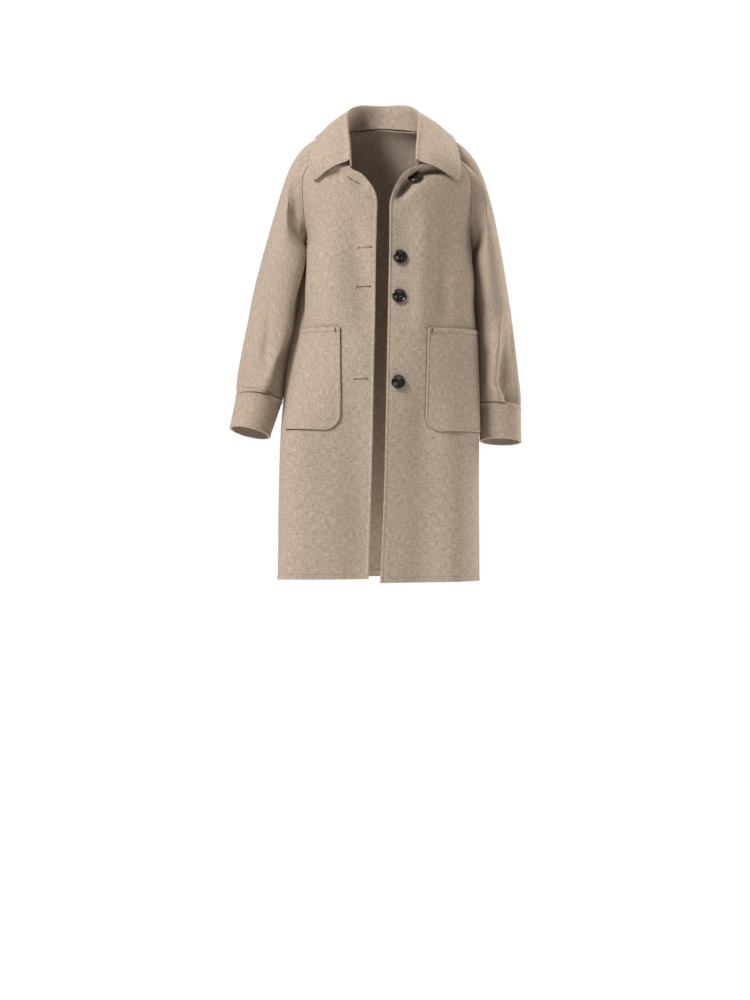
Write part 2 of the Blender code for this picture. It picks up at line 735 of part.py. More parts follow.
cloth_panel("back", back_rows(), away_from_body)
cloth_panel("collar", collar_rows(), upward)
for side_name in SIGN:
    cloth_panel("front_" + side_name, front_rows(side_name), away_from_body)
    cloth_panel("sleeve_%s_front" % side_name, sleeve_half(side_name, "front"), away_from_arm(side_name))
    cloth_panel("sleeve_%s_back" % side_name, sleeve_half(side_name, "back"), away_from_arm(side_name))
    cuff(side_name)
    cloth_panel("pocket_" + side_name, pocket_rows(side_name), away_from_body)
for index, (across_mm, height_mm) in enumerate(BUTTON_PLACES):
    button(index + 1, across_mm, height_mm)
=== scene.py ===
"""The looks of a thigh-length raglan coat of double-faced cashmere, worn open.

Each cut piece is a thin shell on the form of its solid, sampled finer, with its folds, turned edges
and stitching. The front faces -Y, the wearer's left is +X and Z is up.
"""
import math
from collections import namedtuple

import bmesh
import bpy
import numpy as np
from mathutils import Matrix, Vector, noise


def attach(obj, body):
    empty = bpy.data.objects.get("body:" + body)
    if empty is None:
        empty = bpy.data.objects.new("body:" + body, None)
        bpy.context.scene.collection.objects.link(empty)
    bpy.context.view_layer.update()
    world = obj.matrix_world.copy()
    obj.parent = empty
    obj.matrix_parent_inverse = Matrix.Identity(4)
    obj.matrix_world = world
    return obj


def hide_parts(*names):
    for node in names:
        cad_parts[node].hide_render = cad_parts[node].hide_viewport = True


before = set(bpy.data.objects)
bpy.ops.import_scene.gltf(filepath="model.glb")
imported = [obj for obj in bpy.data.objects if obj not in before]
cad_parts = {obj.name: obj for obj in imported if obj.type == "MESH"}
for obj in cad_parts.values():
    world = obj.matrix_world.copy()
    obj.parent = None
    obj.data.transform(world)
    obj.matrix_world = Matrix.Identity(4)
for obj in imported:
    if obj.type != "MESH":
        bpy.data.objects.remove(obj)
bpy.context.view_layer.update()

# Driving sizes in metres, and shares
MM = 0.001
CLOTH = 2.8 * MM
CUFF_CLOTH = 3.6 * MM
SEAM_GAP = 0.3 * MM
# Sewn edges run this far into each other, so that no light shows through a seam
SEAM_LAP = 0.5 * MM
COLLAR_RISE = 0.2 * MM
POCKET_CORNER = 30.0 * MM
POCKET_PUFF = 2.4 * MM
POCKET_LIFT = 2 * SEAM_GAP + CLOTH
POCKET_OVERHANG = 5.0 * MM
POCKET_OVERHANG_SHARES = (0.35, 0.7, 0.85, 1.0)
COLLAR_CORNER = 14.0 * MM
RIDGE = 3.5 * MM
RIDGE_ROOM = 10.0 * MM
RIDGE_ROOM_LIMIT = 0.3
CUFF_GAP = 0.8 * MM
RAGLAN_GAP = 0.3 * MM
SEAM_SQUARE = 0.45
CAP_FLARE = 0.06
RIDGE_LIMIT = 0.3
WELD = 0.001 * MM
EDGE_ROOM = 1.0 * MM
NEAR_POINTS = 4
NEAR_SOFT = 0.2 * MM

# Distances in mm from a turned edge and from the hem where the cloth needs lines of points
EDGE_LINES = (0.0, 0.9, 2.2, 3.8, 5.2, 6.2, 7.4, 9.5, 12.5)
HEM_LINES = (0.0, 0.9, 2.2, 4.0, 6.5, 8.6, 9.6, 10.4, 11.4, 13.5, 17.0)
HEM_STITCH = 10.0 * MM
HEM_ROW_SPAN = 155.0 * MM
POCKET_STITCH = 9.5 * MM
POCKET_STITCH_FROM = 6
BAR_TACK_IN = 9.0 * MM
BAR_TACK_TOP = -3
BAR_TACK_STITCHES = 9
FELL_OUT = 0.6 * MM
# Lines of points in from an edge, where the cloth's direction is steady
STEADY_LINES = 4
# The turned edge takes at most this share of a narrow panel
EDGE_SHARE_LIMIT = 0.4

# Steps along and across the panels
FRONT_STEPS = 34
BACK_STEPS = 32
HEM_TO_UNDERARM_STEPS = 92
RAGLAN_STEPS = 34
RAGLAN_CROWD = 1.25
NECK_ARC_STEPS = 8
ARMHOLE_NEAR = 4
CAP_STEPS = 20
ARM_STEPS = 54
COLLAR_STEPS = 104
COLLAR_ACROSS = 40
POCKET_STEPS = 46
POCKET_ROWS = 30
CUFF_STEPS = 96
BUTTON_STEPS = 48
HALVINGS = 40

# Small shares of a panel or a ring for slopes
RING_NEAR = 0.05
ARRIVE_NEAR = 0.04
RIDGE_NEAR = 0.02
NORMAL_NEAR = 0.01
# The share of the raglan seam over which the ridge of the side seam turns into its own
UNDERARM_BLEND = 0.15

SIGN = {"right": -1, "left": 1}

# A front panel's rows in mm, hem to neck: its front edge, its side seam or raglan seam, and the
# angle in degrees that the cloth turns through between them. Row 7 ends at the underarm.
FrontRow = namedtuple("FrontRow", "edge_x edge_y edge_z side_x side_y side_z turn")
UNDERARM_ROW = 7
CORNER_ROW = 11
NECK_ROW = 13
FRONT_ROWS = {
    "right": (
        FrontRow(-27.0, -149, -853, -196, -80, -856, 80),
        FrontRow(-22.0, -147, -700, -189, -76, -700, 80),
        FrontRow(-19.0, -145, -580, -180, -68, -580, 80),
        FrontRow(-17.0, -143, -480, -168, -55, -480, 80),
        FrontRow(-15.0, -140, -380, -152, -42, -380, 80),
        FrontRow(-14.0, -137, -306, -146, -26, -306, 96),
        FrontRow(-13.2, -134, -255, -141.5, -10, -255, 102),
        FrontRow(-12.6, -132, -226, -142, 0, -226, 98),
        FrontRow(-11.5, -130, -187, -147, -36, -190, 68),
        FrontRow(-12.5, -129, -141, -151, -58, -143, 55),
        FrontRow(-36.0, -124, -105, -150, -67, -99, 44),
        FrontRow(-61.0, -113, -88, -127, -65, -64, 34),
        FrontRow(-62.0, -84, -58, -93, -58, -43, 30),
        FrontRow(-63.5, -60, -38, -70, -53, -34, 30),
    ),
    "left": (
        FrontRow(-6.0, -149, -860, 181, -66, -858, 80),
        FrontRow(1.0, -147, -700, 180, -65, -700, 80),
        FrontRow(4.0, -145, -580, 180, -62, -580, 80),
        FrontRow(6.0, -143, -480, 178, -55, -480, 82),
        FrontRow(8.0, -140, -380, 174, -45, -380, 86),
        FrontRow(9.5, -137, -306, 167, -24, -306, 103),
        FrontRow(10.7, -134, -255, 160, -8, -255, 108),
        FrontRow(11.1, -132, -226, 161, 0, -226, 105),
        FrontRow(11.4, -130, -187, 165, -38, -192, 86),
        FrontRow(13.5, -129, -147, 166, -58, -147, 66),
        FrontRow(34.0, -124, -107, 163, -68, -99, 46),
        FrontRow(64.5, -113, -85, 132, -65, -62, 34),
        FrontRow(64.5, -84, -60, 95, -58, -43, 30),
        FrontRow(65.0, -60, -38, 71, -53, -34, 30),
    ),
}

# The back panel's rows in mm: its middle, and the angles that it turns through to either side
BackRow = namedtuple("BackRow", "middle_x middle_y middle_z turn_right turn_left")
BACK_ROWS = (
    BackRow(-8, 150, -856, 99, 86),
    BackRow(-6, 147, -700, 107, 85),
    BackRow(-4, 142, -580, 112, 84),
    BackRow(-3, 138, -480, 115, 84),
    BackRow(-2, 133, -380, 116, 85),
    BackRow(-1, 130, -306, 115, 86),
    BackRow(0, 127, -255, 114, 90),
    BackRow(0, 126, -226, 105, 90),
    BackRow(0, 125, -186, 78, 78),
    BackRow(0, 122, -138, 66, 66),
    BackRow(0, 115, -88, 58, 58),
    BackRow(0, 104, -44, 54, 54),
    BackRow(0, 90, -12, 50, 50),
    BackRow(0, 75, 8, 50, 50),
)

# The back raglan seam in mm from the underarm to the neck, out from the middle of the body
RaglanPoint = namedtuple("RaglanPoint", "out depth height")
BACK_RAGLAN = (
    RaglanPoint(150, 45, -188),
    RaglanPoint(154, 66, -140),
    RaglanPoint(145, 74, -92),
    RaglanPoint(118, 71, -50),
    RaglanPoint(88, 60, -18),
    RaglanPoint(62, 45, -1),
)

# Where the overarm seam meets the neck, in mm
NECK_SIDE = RaglanPoint(69, -5, -11)

# Rings of each sleeve in mm, upper arm to cuff seam to cuff mouth, how far the overarm seam has
# come round to the front there, how far the ring's outer side is tipped up and how far its long
# axis is turned in at the front, in degrees
ArmRing = namedtuple("ArmRing", "out depth height half_width half_depth twist tip yaw")
ARM_RINGS = {
    "right": (
        ArmRing(193.5, 11, -262, 37.9, 73, 8, 12, 6),
        ArmRing(201.5, 13, -300, 41.0, 72, 14, 11, 6),
        ArmRing(209.0, 13, -345, 43.3, 70, 22, 10, 6),
        ArmRing(218.0, 8, -400, 44.5, 66, 30, 10, 6),
        ArmRing(227.2, -1, -455, 46.0, 60, 39, 9, 3),
        ArmRing(233.0, -9, -497, 45.4, 53, 45, 8, 0),
        ArmRing(234.5, -12, -514, 44.0, 48, 46, 7, 0),
        ArmRing(252.0, -25, -580, 39.0, 44, 46, 13, 0),
    ),
    "left": (
        ArmRing(198.5, 15, -262, 31.0, 74, 8, 10, 0),
        ArmRing(203.0, 17, -300, 32.5, 73, 10, 9, 0),
        ArmRing(207.5, 16, -345, 35.0, 70, 13, 7, 0),
        ArmRing(211.0, 10, -400, 38.5, 65, 16, 5, 0),
        ArmRing(215.0, 2, -455, 40.5, 60, 19, 2, 0),
        ArmRing(218.5, -6, -508, 42.5, 53, 22, -3, 0),
        ArmRing(219.5, -9, -530, 42.0, 48, 23, -5, 0),
        ArmRing(222.5, -18, -597, 39.4, 44, 23, -2, 0),
    ),
}
CUFF_RING = 6
MIDDLE_RING = 2
ArmFrame = namedtuple("ArmFrame", "middle outward forward down half_width half_depth twist")
Armhole = namedtuple("Armhole", "point angle leave ridge pull_start pull_end")

# The cuff's wall round its section: the share down the band, and 1 for its inner face
CUFF_DOWN = (0.0, 0.015, 0.05, 0.09, 0.16, 0.28, 0.42, 0.56, 0.7, 0.82, 0.91, 0.955, 0.985, 1.0)
CUFF_WALL = [(down, 0) for down in CUFF_DOWN] + [(down, 1) for down in CUFF_DOWN[::-1]]

# How a sleeve leaves the armhole, by the angle round the arm (0 faces the body, 90 the front,
# 180 outward): its direction, and its pull at the armhole and at the upper arm
SleeveStart = namedtuple("SleeveStart", "angle out back down pull_start pull_end")
SLEEVE_STARTS = (
    SleeveStart(0, 0.52, 0.00, 0.85, 0.32, 0.30),
    SleeveStart(45, 0.62, 0.24, 0.75, 0.34, 0.36),
    SleeveStart(95, 0.78, 0.30, 0.55, 0.36, 0.44),
    SleeveStart(145, 0.93, 0.08, 0.34, 0.38, 0.55),
    SleeveStart(180, 1.00, 0.00, 0.05, 0.36, 0.64),
    SleeveStart(215, 0.93, -0.08, 0.38, 0.38, 0.55),
    SleeveStart(265, 0.78, -0.26, 0.57, 0.36, 0.44),
    SleeveStart(315, 0.62, -0.20, 0.76, 0.34, 0.36),
    SleeveStart(360, 0.52, 0.00, 0.85, 0.32, 0.30),
)

# The pleat let into each sleeve above its cuff: its ridge, by height over the cuff seam in mm,
# the angle round the arm, and how far it stands out
Pleat = namedtuple("Pleat", "rise angle depth")
PLEATS = {
    "right": (Pleat(0, 92, 5.0), Pleat(30, 76, 6.5), Pleat(62, 62, 6.0), Pleat(110, 54, 2.5),
              Pleat(165, 50, 0.0)),
    "left": (Pleat(0, 106, 5.0), Pleat(36, 92, 6.5), Pleat(80, 100, 5.5), Pleat(130, 118, 2.0),
             Pleat(170, 126, 0.0)),
}
PLEAT_RISE_ANGLE = 46
PLEAT_FALL_ANGLE = 16

# The collar by station from its front end (0) to the middle of the back (5), in mm: the roll line
# and the outer edge, out from the middle, and how far the fall swells backward between them
CollarStation = namedtuple("CollarStation", "roll_x roll_y roll_z right_x left_x edge_y edge_z swell")
COLLAR = (
    CollarStation(60.0, -121, -76, 131, 143, -97, -116, -9),
    CollarStation(61.0, -82, -42, 139, 146, -86, -86, -8),
    CollarStation(65.0, -42, -4, 133, 140, -35, -39, -4),
    CollarStation(64.5, -4, 28, 120, 126, 14, -12, 0),
    CollarStation(44.0, 52, 49, 80, 82, 90, -25, 2),
    CollarStation(0.0, 80, 53, 0, 0, 113, -40, 2),
)
COLLAR_STATIONS = len(COLLAR) - 1
ROLL_OUT = 7.0 * MM
ROLL_CROWN = 0.5
ROLL_OVER = 1.5
ROLL_TOP = 1.5 * MM
ROLL_DROP = 3.0 * MM
STAND_SHARES = (0.0, 0.5, 0.85)
FALL_STEPS = 6
FALL_BULGE = 5.0 * MM
FALL_LEAN = 0.4
FALL_TAPER = 0.4

# Pockets in mm: top and bottom heights and the front edge at each
Pocket = namedtuple("Pocket", "top bottom top_x bottom_x")
POCKETS = {
    "right": Pocket(-387, -577, -78, -80),
    "left": Pocket(-388, -580, 81, 79),
}

# Button centres in mm on the left front
Button = namedtuple("Button", "across height")
BUTTONS = (Button(61, -108), Button(31, -257.5), Button(29.3, -330), Button(27.3, -489))

# A button's section in mm, radius and height over the cloth: its shank, its rim, and the dish in
# its middle, which rises from its lowest point as the square of the radius
BUTTON_SHANK = ((0.0, 0.0), (2.2, 0.0), (2.2, 2.88), (2.42, 3.0))
BUTTON_RIM = ((10.4, 3.0), (13.0, 4.6), (12.61, 6.4), (11.18, 7.2), (9.36, 6.48))
RIM_STEPS = 4
DISH_RADIUS = 8.32
DISH_LOW = 4.8
DISH_RISE = 1.728
DISH_STEPS = 24

# The four holes that a button is sewn on by
SEW_HOLES_ABOVE = 4.6 * MM
SEW_HOLE_OUT = 2.5 * MM
SEW_HOLE_RADIUS = 1.25 * MM
SEW_HOLE_DEPTH = 1.6 * MM
SEW_HOLE_SHARP = 0.6
THREAD_SIDES = (-0.35, 0.35)
THREAD_REACH = 1.05

# How a button sits: pulled into the cloth, tilted by the slope of the folds that it rests on,
# following part of their height, and turned on from the one above it, in degrees
BUTTON_SINK = 1.2 * MM
BUTTON_REST = 6.0 * MM
BUTTON_FOLLOW = 0.7
BUTTON_TURN = 8

# The buttonholes' front ends in mm on the right front, with their slant in degrees. The top one
# is turned with the rolled edge.
Hole = namedtuple("Hole", "across height slant")
BUTTONHOLES = (
    Hole(-44, -121, 30),
    Hole(-21.5, -238.5, -1.4),
    Hole(-23.5, -311.5, -1.4),
    Hole(-28.5, -482.5, -1.4),
)
BUTTONHOLE_LENGTH = 25.0 * MM
HOLE_STITCHES = 26
HOLE_GAP = 3
HOLE_HALF = 0.8 * MM
EYE_RADIUS = 1.5 * MM
EYE_STITCHES = 12
HOLE_BAR_STITCHES = 3
HOLE_BAR_STEP = 0.6 * MM

# Stitches in mm: their size, how far their middle stands off the cloth, and the gap in a row
Stitch = namedtuple("Stitch", "length width height rise gap", defaults=(0.0,))
HEM_ROW = Stitch(3.4, 0.7, 0.7, 0.15, 0.9)
POCKET_ROW = Stitch(3.2, 0.7, 0.7, 0.15, 0.9)
FELL_ROW = Stitch(2.6, 1.2, 1.2, 0.2, 0.4)
BAR_TACK = Stitch(2.8, 1.2, 1.1, 0.3)
HOLE_PURL = Stitch(1.3, 0.9, 0.6, 0.1)
# Dark dashes of painted shade along a buttonhole's slit
HOLE_SLIT_SHADE = Stitch(1.2, 0.5, 0.5, 0.05)
EYE_SHADE = Stitch(1.8, 1.6, 0.6, 0.15)
EYE_PURL = Stitch(1.5, 0.8, 0.7, 0.2)
HOLE_BAR = Stitch(5.6, 0.8, 0.8, 0.3)
BUTTON_LOOP = Stitch(0.0, 0.7, 0.9, 0.15)
STITCH_AROUND = 8
STITCH_ALONG = 5

# Folds, seen from the front or the back: a path of (x, z) in mm, the half width of the
# fold, how far it stands out, or in where that is negative, and for a sharp fold that runs down
# its half width on the +X side
Fold = namedtuple("Fold", "path width depth far", defaults=(None,))
FRONT_FOLDS = {
    "right": (
        Fold(((-112, -106), (-86, -99), (-66, -101), (-44, -118), (-30, -140)), 10, -7.0),
        Fold(((-106, -120), (-108, -220), (-98, -300), (-88, -430)), 28, 8.0),
        Fold(((-54, -140), (-50, -230), (-38, -310), (-30, -430)), 24, -8.5),
        Fold(((-160, -470), (-165, -600), (-168, -720), (-171, -1000)), 42, 19.0),
        Fold(((-44, -420), (-44, -560), (-40, -700), (-36, -1000)), 50, -19.0),
    ),
    "left": (
        Fold(((136, -72), (104, -84), (74, -93), (57, -102), (43, -114), (33, -129), (22, -156)),
             4, -26.0, 14),
        Fold(((12, -160), (22, -124), (35, -107), (50, -94), (68, -80)), 5, 5.5),
        Fold(((0, -140), (4, -200), (2, -290)), 20, 5.0),
        Fold(((76, -130), (77, -220), (74, -310), (70, -430)), 20, 8.0),
        Fold(((116, -140), (114, -230), (110, -310), (112, -430)), 22, -8.5),
        Fold(((-6, -420), (-12, -560), (-14, -700), (-20, -1000)), 34, 7.0),
        Fold(((72, -420), (76, -560), (74, -680), (70, -1000)), 32, -8.5),
        Fold(((130, -470), (132, -640), (132, -760), (132, -1000)), 26, 7.0),
    ),
}
BACK_FOLDS = (
    Fold(((-72, -110), (-80, -240), (-84, -420)), 26, -4.5),
    Fold(((66, -120), (78, -260), (82, -440)), 24, -4.0),
    Fold(((4, -150), (2, -330), (-6, -520)), 30, 3.0),
    Fold(((-44, -420), (-52, -620), (-58, -920)), 30, -5.5),
    Fold(((42, -460), (50, -640), (58, -920)), 28, -5.0),
    Fold(((-112, -470), (-122, -640), (-132, -920)), 26, 4.5),
    Fold(((112, -500), (120, -660), (126, -920)), 26, 4.0),
    Fold(((-128, -175), (-112, -215), (-92, -270)), 11, -3.0),
    Fold(((132, -180), (116, -222), (98, -262)), 10, -3.0),
)
SLEEVE_FOLDS = {
    ("right", "front"): (
        Fold(((-172, -100), (-166, -140), (-160, -184)), 8, -5.0),
        Fold(((-176, -148), (-162, -176), (-152, -196)), 6, -3.0),
        Fold(((-152, -150), (-158, -215), (-164, -256), (-179, -331), (-187, -406), (-194, -460)),
             14, 11.0, 6),
        Fold(((-160, -190), (-168, -256), (-182, -331), (-190, -406), (-198, -460)), 28, 6.0),
        Fold(((-210, -290), (-215, -360), (-218, -406), (-226, -480)), 9, -4.0),
        Fold(((-187, -370), (-195, -416), (-209, -463), (-219, -491), (-232, -507), (-292, -580)),
             9, 7.5, 5),
        Fold(((-178, -372), (-186, -418), (-200, -466), (-209, -495), (-222, -513), (-282, -587)),
             5, -8.0, 11),
        Fold(((-226, -230), (-236, -310), (-246, -400)), 14, -2.0),
        Fold(((-205, -170), (-214, -240), (-220, -310)), 13, 1.5),
    ),
    ("left", "front"): (
        Fold(((172, -110), (168, -150), (166, -186)), 8, -3.0),
        Fold(((190, -180), (184, -215), (176, -250)), 8, -2.5),
        Fold(((196, -240), (200, -330), (202, -420)), 11, 2.0),
        Fold(((223, -340), (216, -420), (209, -487), (224, -527), (254, -607)), 14, 7.0, 6),
        Fold(((232, -342), (226, -422), (219, -485), (233, -520), (263, -600)), 6, -11.5, 26),
    ),
    ("right", "back"): (
        Fold(((-178, -150), (-166, -190), (-158, -230)), 9, -3.0),
        Fold(((-250, -340), (-226, -362), (-204, -366)), 8, -4.0),
        Fold(((-256, -382), (-232, -404), (-208, -412)), 8, -4.5),
        Fold(((-252, -362), (-228, -384), (-206, -390)), 8, 2.5),
        Fold(((-214, -190), (-222, -260), (-226, -330)), 14, 2.0),
    ),
    ("left", "back"): (
        Fold(((182, -150), (172, -190), (168, -235)), 9, -3.0),
        Fold(((236, -352), (216, -370), (196, -372)), 8, -4.0),
        Fold(((242, -396), (220, -414), (198, -418)), 8, -4.0),
        Fold(((240, -374), (218, -392), (196, -395)), 8, 2.5),
        Fold(((206, -190), (212, -260), (214, -330)), 14, 2.0),
    ),
}
# A fold fades over this share of its path at each end, and its depth wavers along it
FOLD_END = 0.3
FOLD_UNEVEN = 0.2
FOLD_WAVES = 9
FOLD_SHIFT = 2.1

# How far in from a seam the folds die away. At the side seam it is farther below a height.
SEAM_CALM = 16.0 * MM
CUFF_CALM = 5.0 * MM
LOW_CALM = -0.4
LOW_CALM_SPAN = 138.0 * MM
BACK_CALM = 48.0 * MM
PLEAT_CALM = 14.0

# The small unevenness of hanging cloth, and the swell of the back beside the arms
SLACK_HEIGHT = 0.8 * MM
SLACK_SPAN = 46.0 * MM
CUFF_SLACK = 0.5
ARM_PRESS = 3.0 * MM
ARM_PRESS_TOP = -0.215
ARM_PRESS_LOW = -0.53
ARM_PRESS_IN = 32.0 * MM
ARM_PRESS_WIDTH = 22.4 * MM

# A turned edge: a soft roll along it and the felled line behind the roll, in mm
ROLL_AT = 2.8
ROLL_WIDTH = 2.3
ROLL_HEIGHT = 1.0
CUFF_ROLL = 1.7
FELL_AT = 6.4
FELL_WIDTH = 1.2
FELL_DEPTH = 0.55
STITCH_WIDTH = 1.3
STITCH_DEPTH = 0.7
SEAM_WIDTH = 1.5
SEAM_DEPTH = 0.9
POCKET_ROLL_AT = 4.6
POCKET_ROLL_WIDTH = 3.4
POCKET_ROLL_HEIGHT = 1.5
POCKET_STITCH_DEPTH = 1.1

# What shows of each cut piece, laid flat: its width and length in metres, its area in square metres
Cut = namedtuple("Cut", "width length area")
CUTS = {
    "back": Cut(0.65, 0.94, 0.45),
    "front_right": Cut(0.21, 0.90, 0.154),
    "front_left": Cut(0.24, 0.91, 0.17),
    "sleeve_right_front": Cut(0.19, 0.58, 0.078),
    "sleeve_right_back": Cut(0.19, 0.59, 0.082),
    "sleeve_left_front": Cut(0.18, 0.60, 0.074),
    "sleeve_left_back": Cut(0.19, 0.61, 0.081),
    "cuff_right": Cut(0.275, 0.07, 0.0192),
    "cuff_left": Cut(0.275, 0.07, 0.0192),
    "collar": Cut(0.15, 0.69, 0.069),
    "pocket_right": Cut(0.135, 0.21, 0.024),
    "pocket_left": Cut(0.135, 0.21, 0.025),
}

Panel = namedtuple("Panel", "points normals across along")


def unit(vector):
    """A direction of length one."""
    return vector / np.linalg.norm(vector)


def smooth(share):
    """A share from 0 to 1 eased at both ends."""
    share = np.clip(share, 0.0, 1.0)
    return share * share * (3 - 2 * share)


def through(rows, place):
    """The columns of a table at a place between its rows, on a smooth curve through them."""
    table = np.array([list(row) for row in rows], float)
    last = len(table) - 1
    place = min(max(place, 0.0), float(last))
    index = min(int(place), last - 1)
    share = place - index
    before = table[max(index - 1, 0)]
    start = table[index]
    end = table[index + 1]
    after = table[min(index + 2, last)]
    leave = (end - before) / (2.0 if index > 0 else 1.0)
    arrive = (after - start) / (2.0 if index + 2 <= last else 1.0)
    square = share * share
    cube = square * share
    return ((2 * cube - 3 * square + 1) * start + (cube - 2 * square + share) * leave
            + (3 * square - 2 * cube) * end + (cube - square) * arrive)


def by_key(rows, key):
    """The other columns of a table at a value of its first column."""
    keys = [row[0] for row in rows]
    place = float(np.interp(key, keys, range(len(keys))))
    return through(rows, place)[1:]


def turned(start, end, share, turn):
    """A point on cloth that turns from facing forward or back at start to the side at end."""
    angle = math.radians(turn)
    across = math.sin(angle * share) / math.sin(angle)
    deep = (1 - math.cos(angle * share)) / (1 - math.cos(angle))
    return np.array((start[0] + (end[0] - start[0]) * across,
                     start[1] + (end[1] - start[1]) * deep,
                     start[2] + (end[2] - start[2]) * share))


def runs_along(line):
    """The distance along a line of points at each of them."""
    return np.concatenate([[0.0], np.cumsum(np.linalg.norm(np.diff(line, axis=0), axis=1))])


def crowded(steps):
    """Shares from 0 to 1 that stand close together at both ends."""
    return [(1 - math.cos(math.pi * step / steps)) / 2 for step in range(steps + 1)]


def raglan(side, half, place):
    """A point of a raglan seam in metres. Both seams run level into each other at the underarm."""
    front = [np.array(row[3:6], float) for row in FRONT_ROWS[side][UNDERARM_ROW:]]
    flip = np.array((SIGN[side], 1, 1))
    back = [front[0]] + [np.array(point, float) * flip for point in BACK_RAGLAN]
    rows = [back[1]] + front if half == "front" else [front[1]] + back
    return through(rows, place - UNDERARM_ROW + 1) * MM


def front_point(side, share, place):
    """A point of a front panel's outside, share 0 at its front edge and 1 at its side."""
    row = through(FRONT_ROWS[side], place)
    side_end = row[3:6] * MM if place <= UNDERARM_ROW else raglan(side, "front", place)
    return turned(row[0:3] * MM, side_end, share, row[6])


def back_raglan(side, place):
    """A point of the back panel's side edge, on the side seam below the underarm."""
    if place <= UNDERARM_ROW:
        return front_point(side, 1.0, place)
    return raglan(side, "back", place)


def back_point(share, place):
    """A point of the back's outside, share -1 at its right edge, 0 in the middle and 1 at its left."""
    side = "right" if share < 0 else "left"
    row = through(BACK_ROWS, place)
    turn = row[3] if side == "right" else row[4]
    return turned(row[0:3] * MM, back_raglan(side, place), abs(share), turn)


def raglan_shares():
    """Shares up the raglan seams, closer together near the underarm."""
    return [(step / RAGLAN_STEPS) ** RAGLAN_CROWD for step in range(RAGLAN_STEPS + 1)]


def raglan_places():
    """Row places up the raglan seams, shared by the body panels and the sleeves."""
    return [UNDERARM_ROW + (NECK_ROW - UNDERARM_ROW) * share for share in raglan_shares()]


def neck_side(side):
    """The point where the overarm seam meets the neck."""
    return np.array((SIGN[side] * NECK_SIDE.out, NECK_SIDE.depth, NECK_SIDE.height)) * MM


def armhole_points(side, half):
    """Points round half the armhole, from the underarm up the raglan seam to the overarm seam."""
    points = []
    for place in raglan_places():
        points.append(front_point(side, 1.0, place) if half == "front" else back_raglan(side, place))
    ends = (front_point(side, 1.0, NECK_ROW), neck_side(side), back_raglan(side, NECK_ROW))
    if half == "back":
        ends = ends[::-1]
    for step in range(NECK_ARC_STEPS):
        points.append(through(ends, (step + 1) / NECK_ARC_STEPS))
    return points


def arm_frame(side, place):
    """The middle, directions, half sizes and twist of a sleeve at a ring."""
    rings = ARM_RINGS[side]
    out, depth, height, half_width, half_depth, twist, tip, yaw = through(rings, place)
    low = through(rings, min(place + RING_NEAR, len(rings) - 1))[0:3]
    high = through(rings, max(place - RING_NEAR, 0))[0:3]
    flip = np.array((SIGN[side], 1, 1))
    down = unit((low - high) * flip)
    outward = np.array((SIGN[side] * math.cos(math.radians(tip)), 0.0, math.sin(math.radians(tip))))
    forward = np.array((0.0, -1.0, 0.0)) + down * down[1]
    forward = unit(forward - outward * np.dot(forward, outward))
    turn_in = math.radians(yaw)
    outward, forward = (outward * math.cos(turn_in) + forward * math.sin(turn_in),
                        forward * math.cos(turn_in) - outward * math.sin(turn_in))
    middle = np.array((out, depth, height)) * flip * MM
    return ArmFrame(middle, outward, forward, down, half_width * MM, half_depth * MM, twist)


def pleat_height(side, angle, rise):
    """How far the pleat lifts the sleeve, rising slowly to its ridge and dropping away beyond it."""
    rows = PLEATS[side]
    if rise > rows[-1].rise:
        return 0.0
    ridge, depth = by_key(rows, rise)
    beyond = (angle - ridge) * (-1 if side == "right" else 1)
    span = PLEAT_FALL_ANGLE if beyond > 0 else PLEAT_RISE_ANGLE
    share = min(abs(beyond) / span, 1.0)
    flat_end = smooth(rise / PLEAT_CALM)
    return depth * MM * flat_end * (0.5 + 0.5 * math.cos(math.pi * share))


def arm_ring(side, angles, place):
    """Points round a sleeve below the armhole. Angles run from the body by the front outward."""
    ring = arm_frame(side, place)
    rise = ring.middle[2] / MM - ARM_RINGS[side][CUFF_RING].height
    points = []
    for angle in angles:
        turn = math.radians(angle - ring.twist)
        lift = pleat_height(side, angle - ring.twist, rise) if place <= CUFF_RING else 0.0
        points.append(ring.middle - ring.outward * (ring.half_width + lift) * math.cos(turn)
                      + ring.forward * (ring.half_depth + lift) * math.sin(turn))
    return points


def arriving(side, half, place):
    """The direction in which a body panel's cloth runs into the raglan seam."""
    near = 1 - ARRIVE_NEAR
    if half == "front":
        return unit(front_point(side, 1.0, place) - front_point(side, near, place))
    return unit(back_point(SIGN[side], place) - back_point(SIGN[side] * near, place))


def armhole(side, half):
    """Stations round half the armhole: where the sleeve starts, its angle round the arm, how it
    leaves the seam, and the direction of the seam's flattened ridge out from the body."""
    points = armhole_points(side, half)
    last = len(points) - 1
    steps = [np.linalg.norm(second - first) for first, second in zip(points, points[1:])]
    shares = raglan_shares()
    stations = []
    for index, point in enumerate(points):
        angle = 180 * sum(steps[:index]) / sum(steps)
        angle = angle if half == "front" else 360 - angle
        out, back, down, pull_start, pull_end = by_key(SLEEVE_STARTS, angle)
        along = unit(points[min(index + ARMHOLE_NEAR, last)] - points[max(index - ARMHOLE_NEAR, 0)])
        leave = np.array((SIGN[side] * out, back, -down))
        leave = unit(leave - along * np.dot(leave, along) * SEAM_SQUARE)
        ridge = leave
        if index < len(shares):
            arrive = arriving(side, half, raglan_places()[index])
            if np.dot(arrive, leave) > RIDGE_LIMIT:
                above = smooth(shares[index] / UNDERARM_BLEND)
                ridge = unit(leave * (1 - above) + unit(arrive + leave) * above)
        stations.append(Armhole(point, angle, leave, ridge, pull_start, pull_end))
    return stations


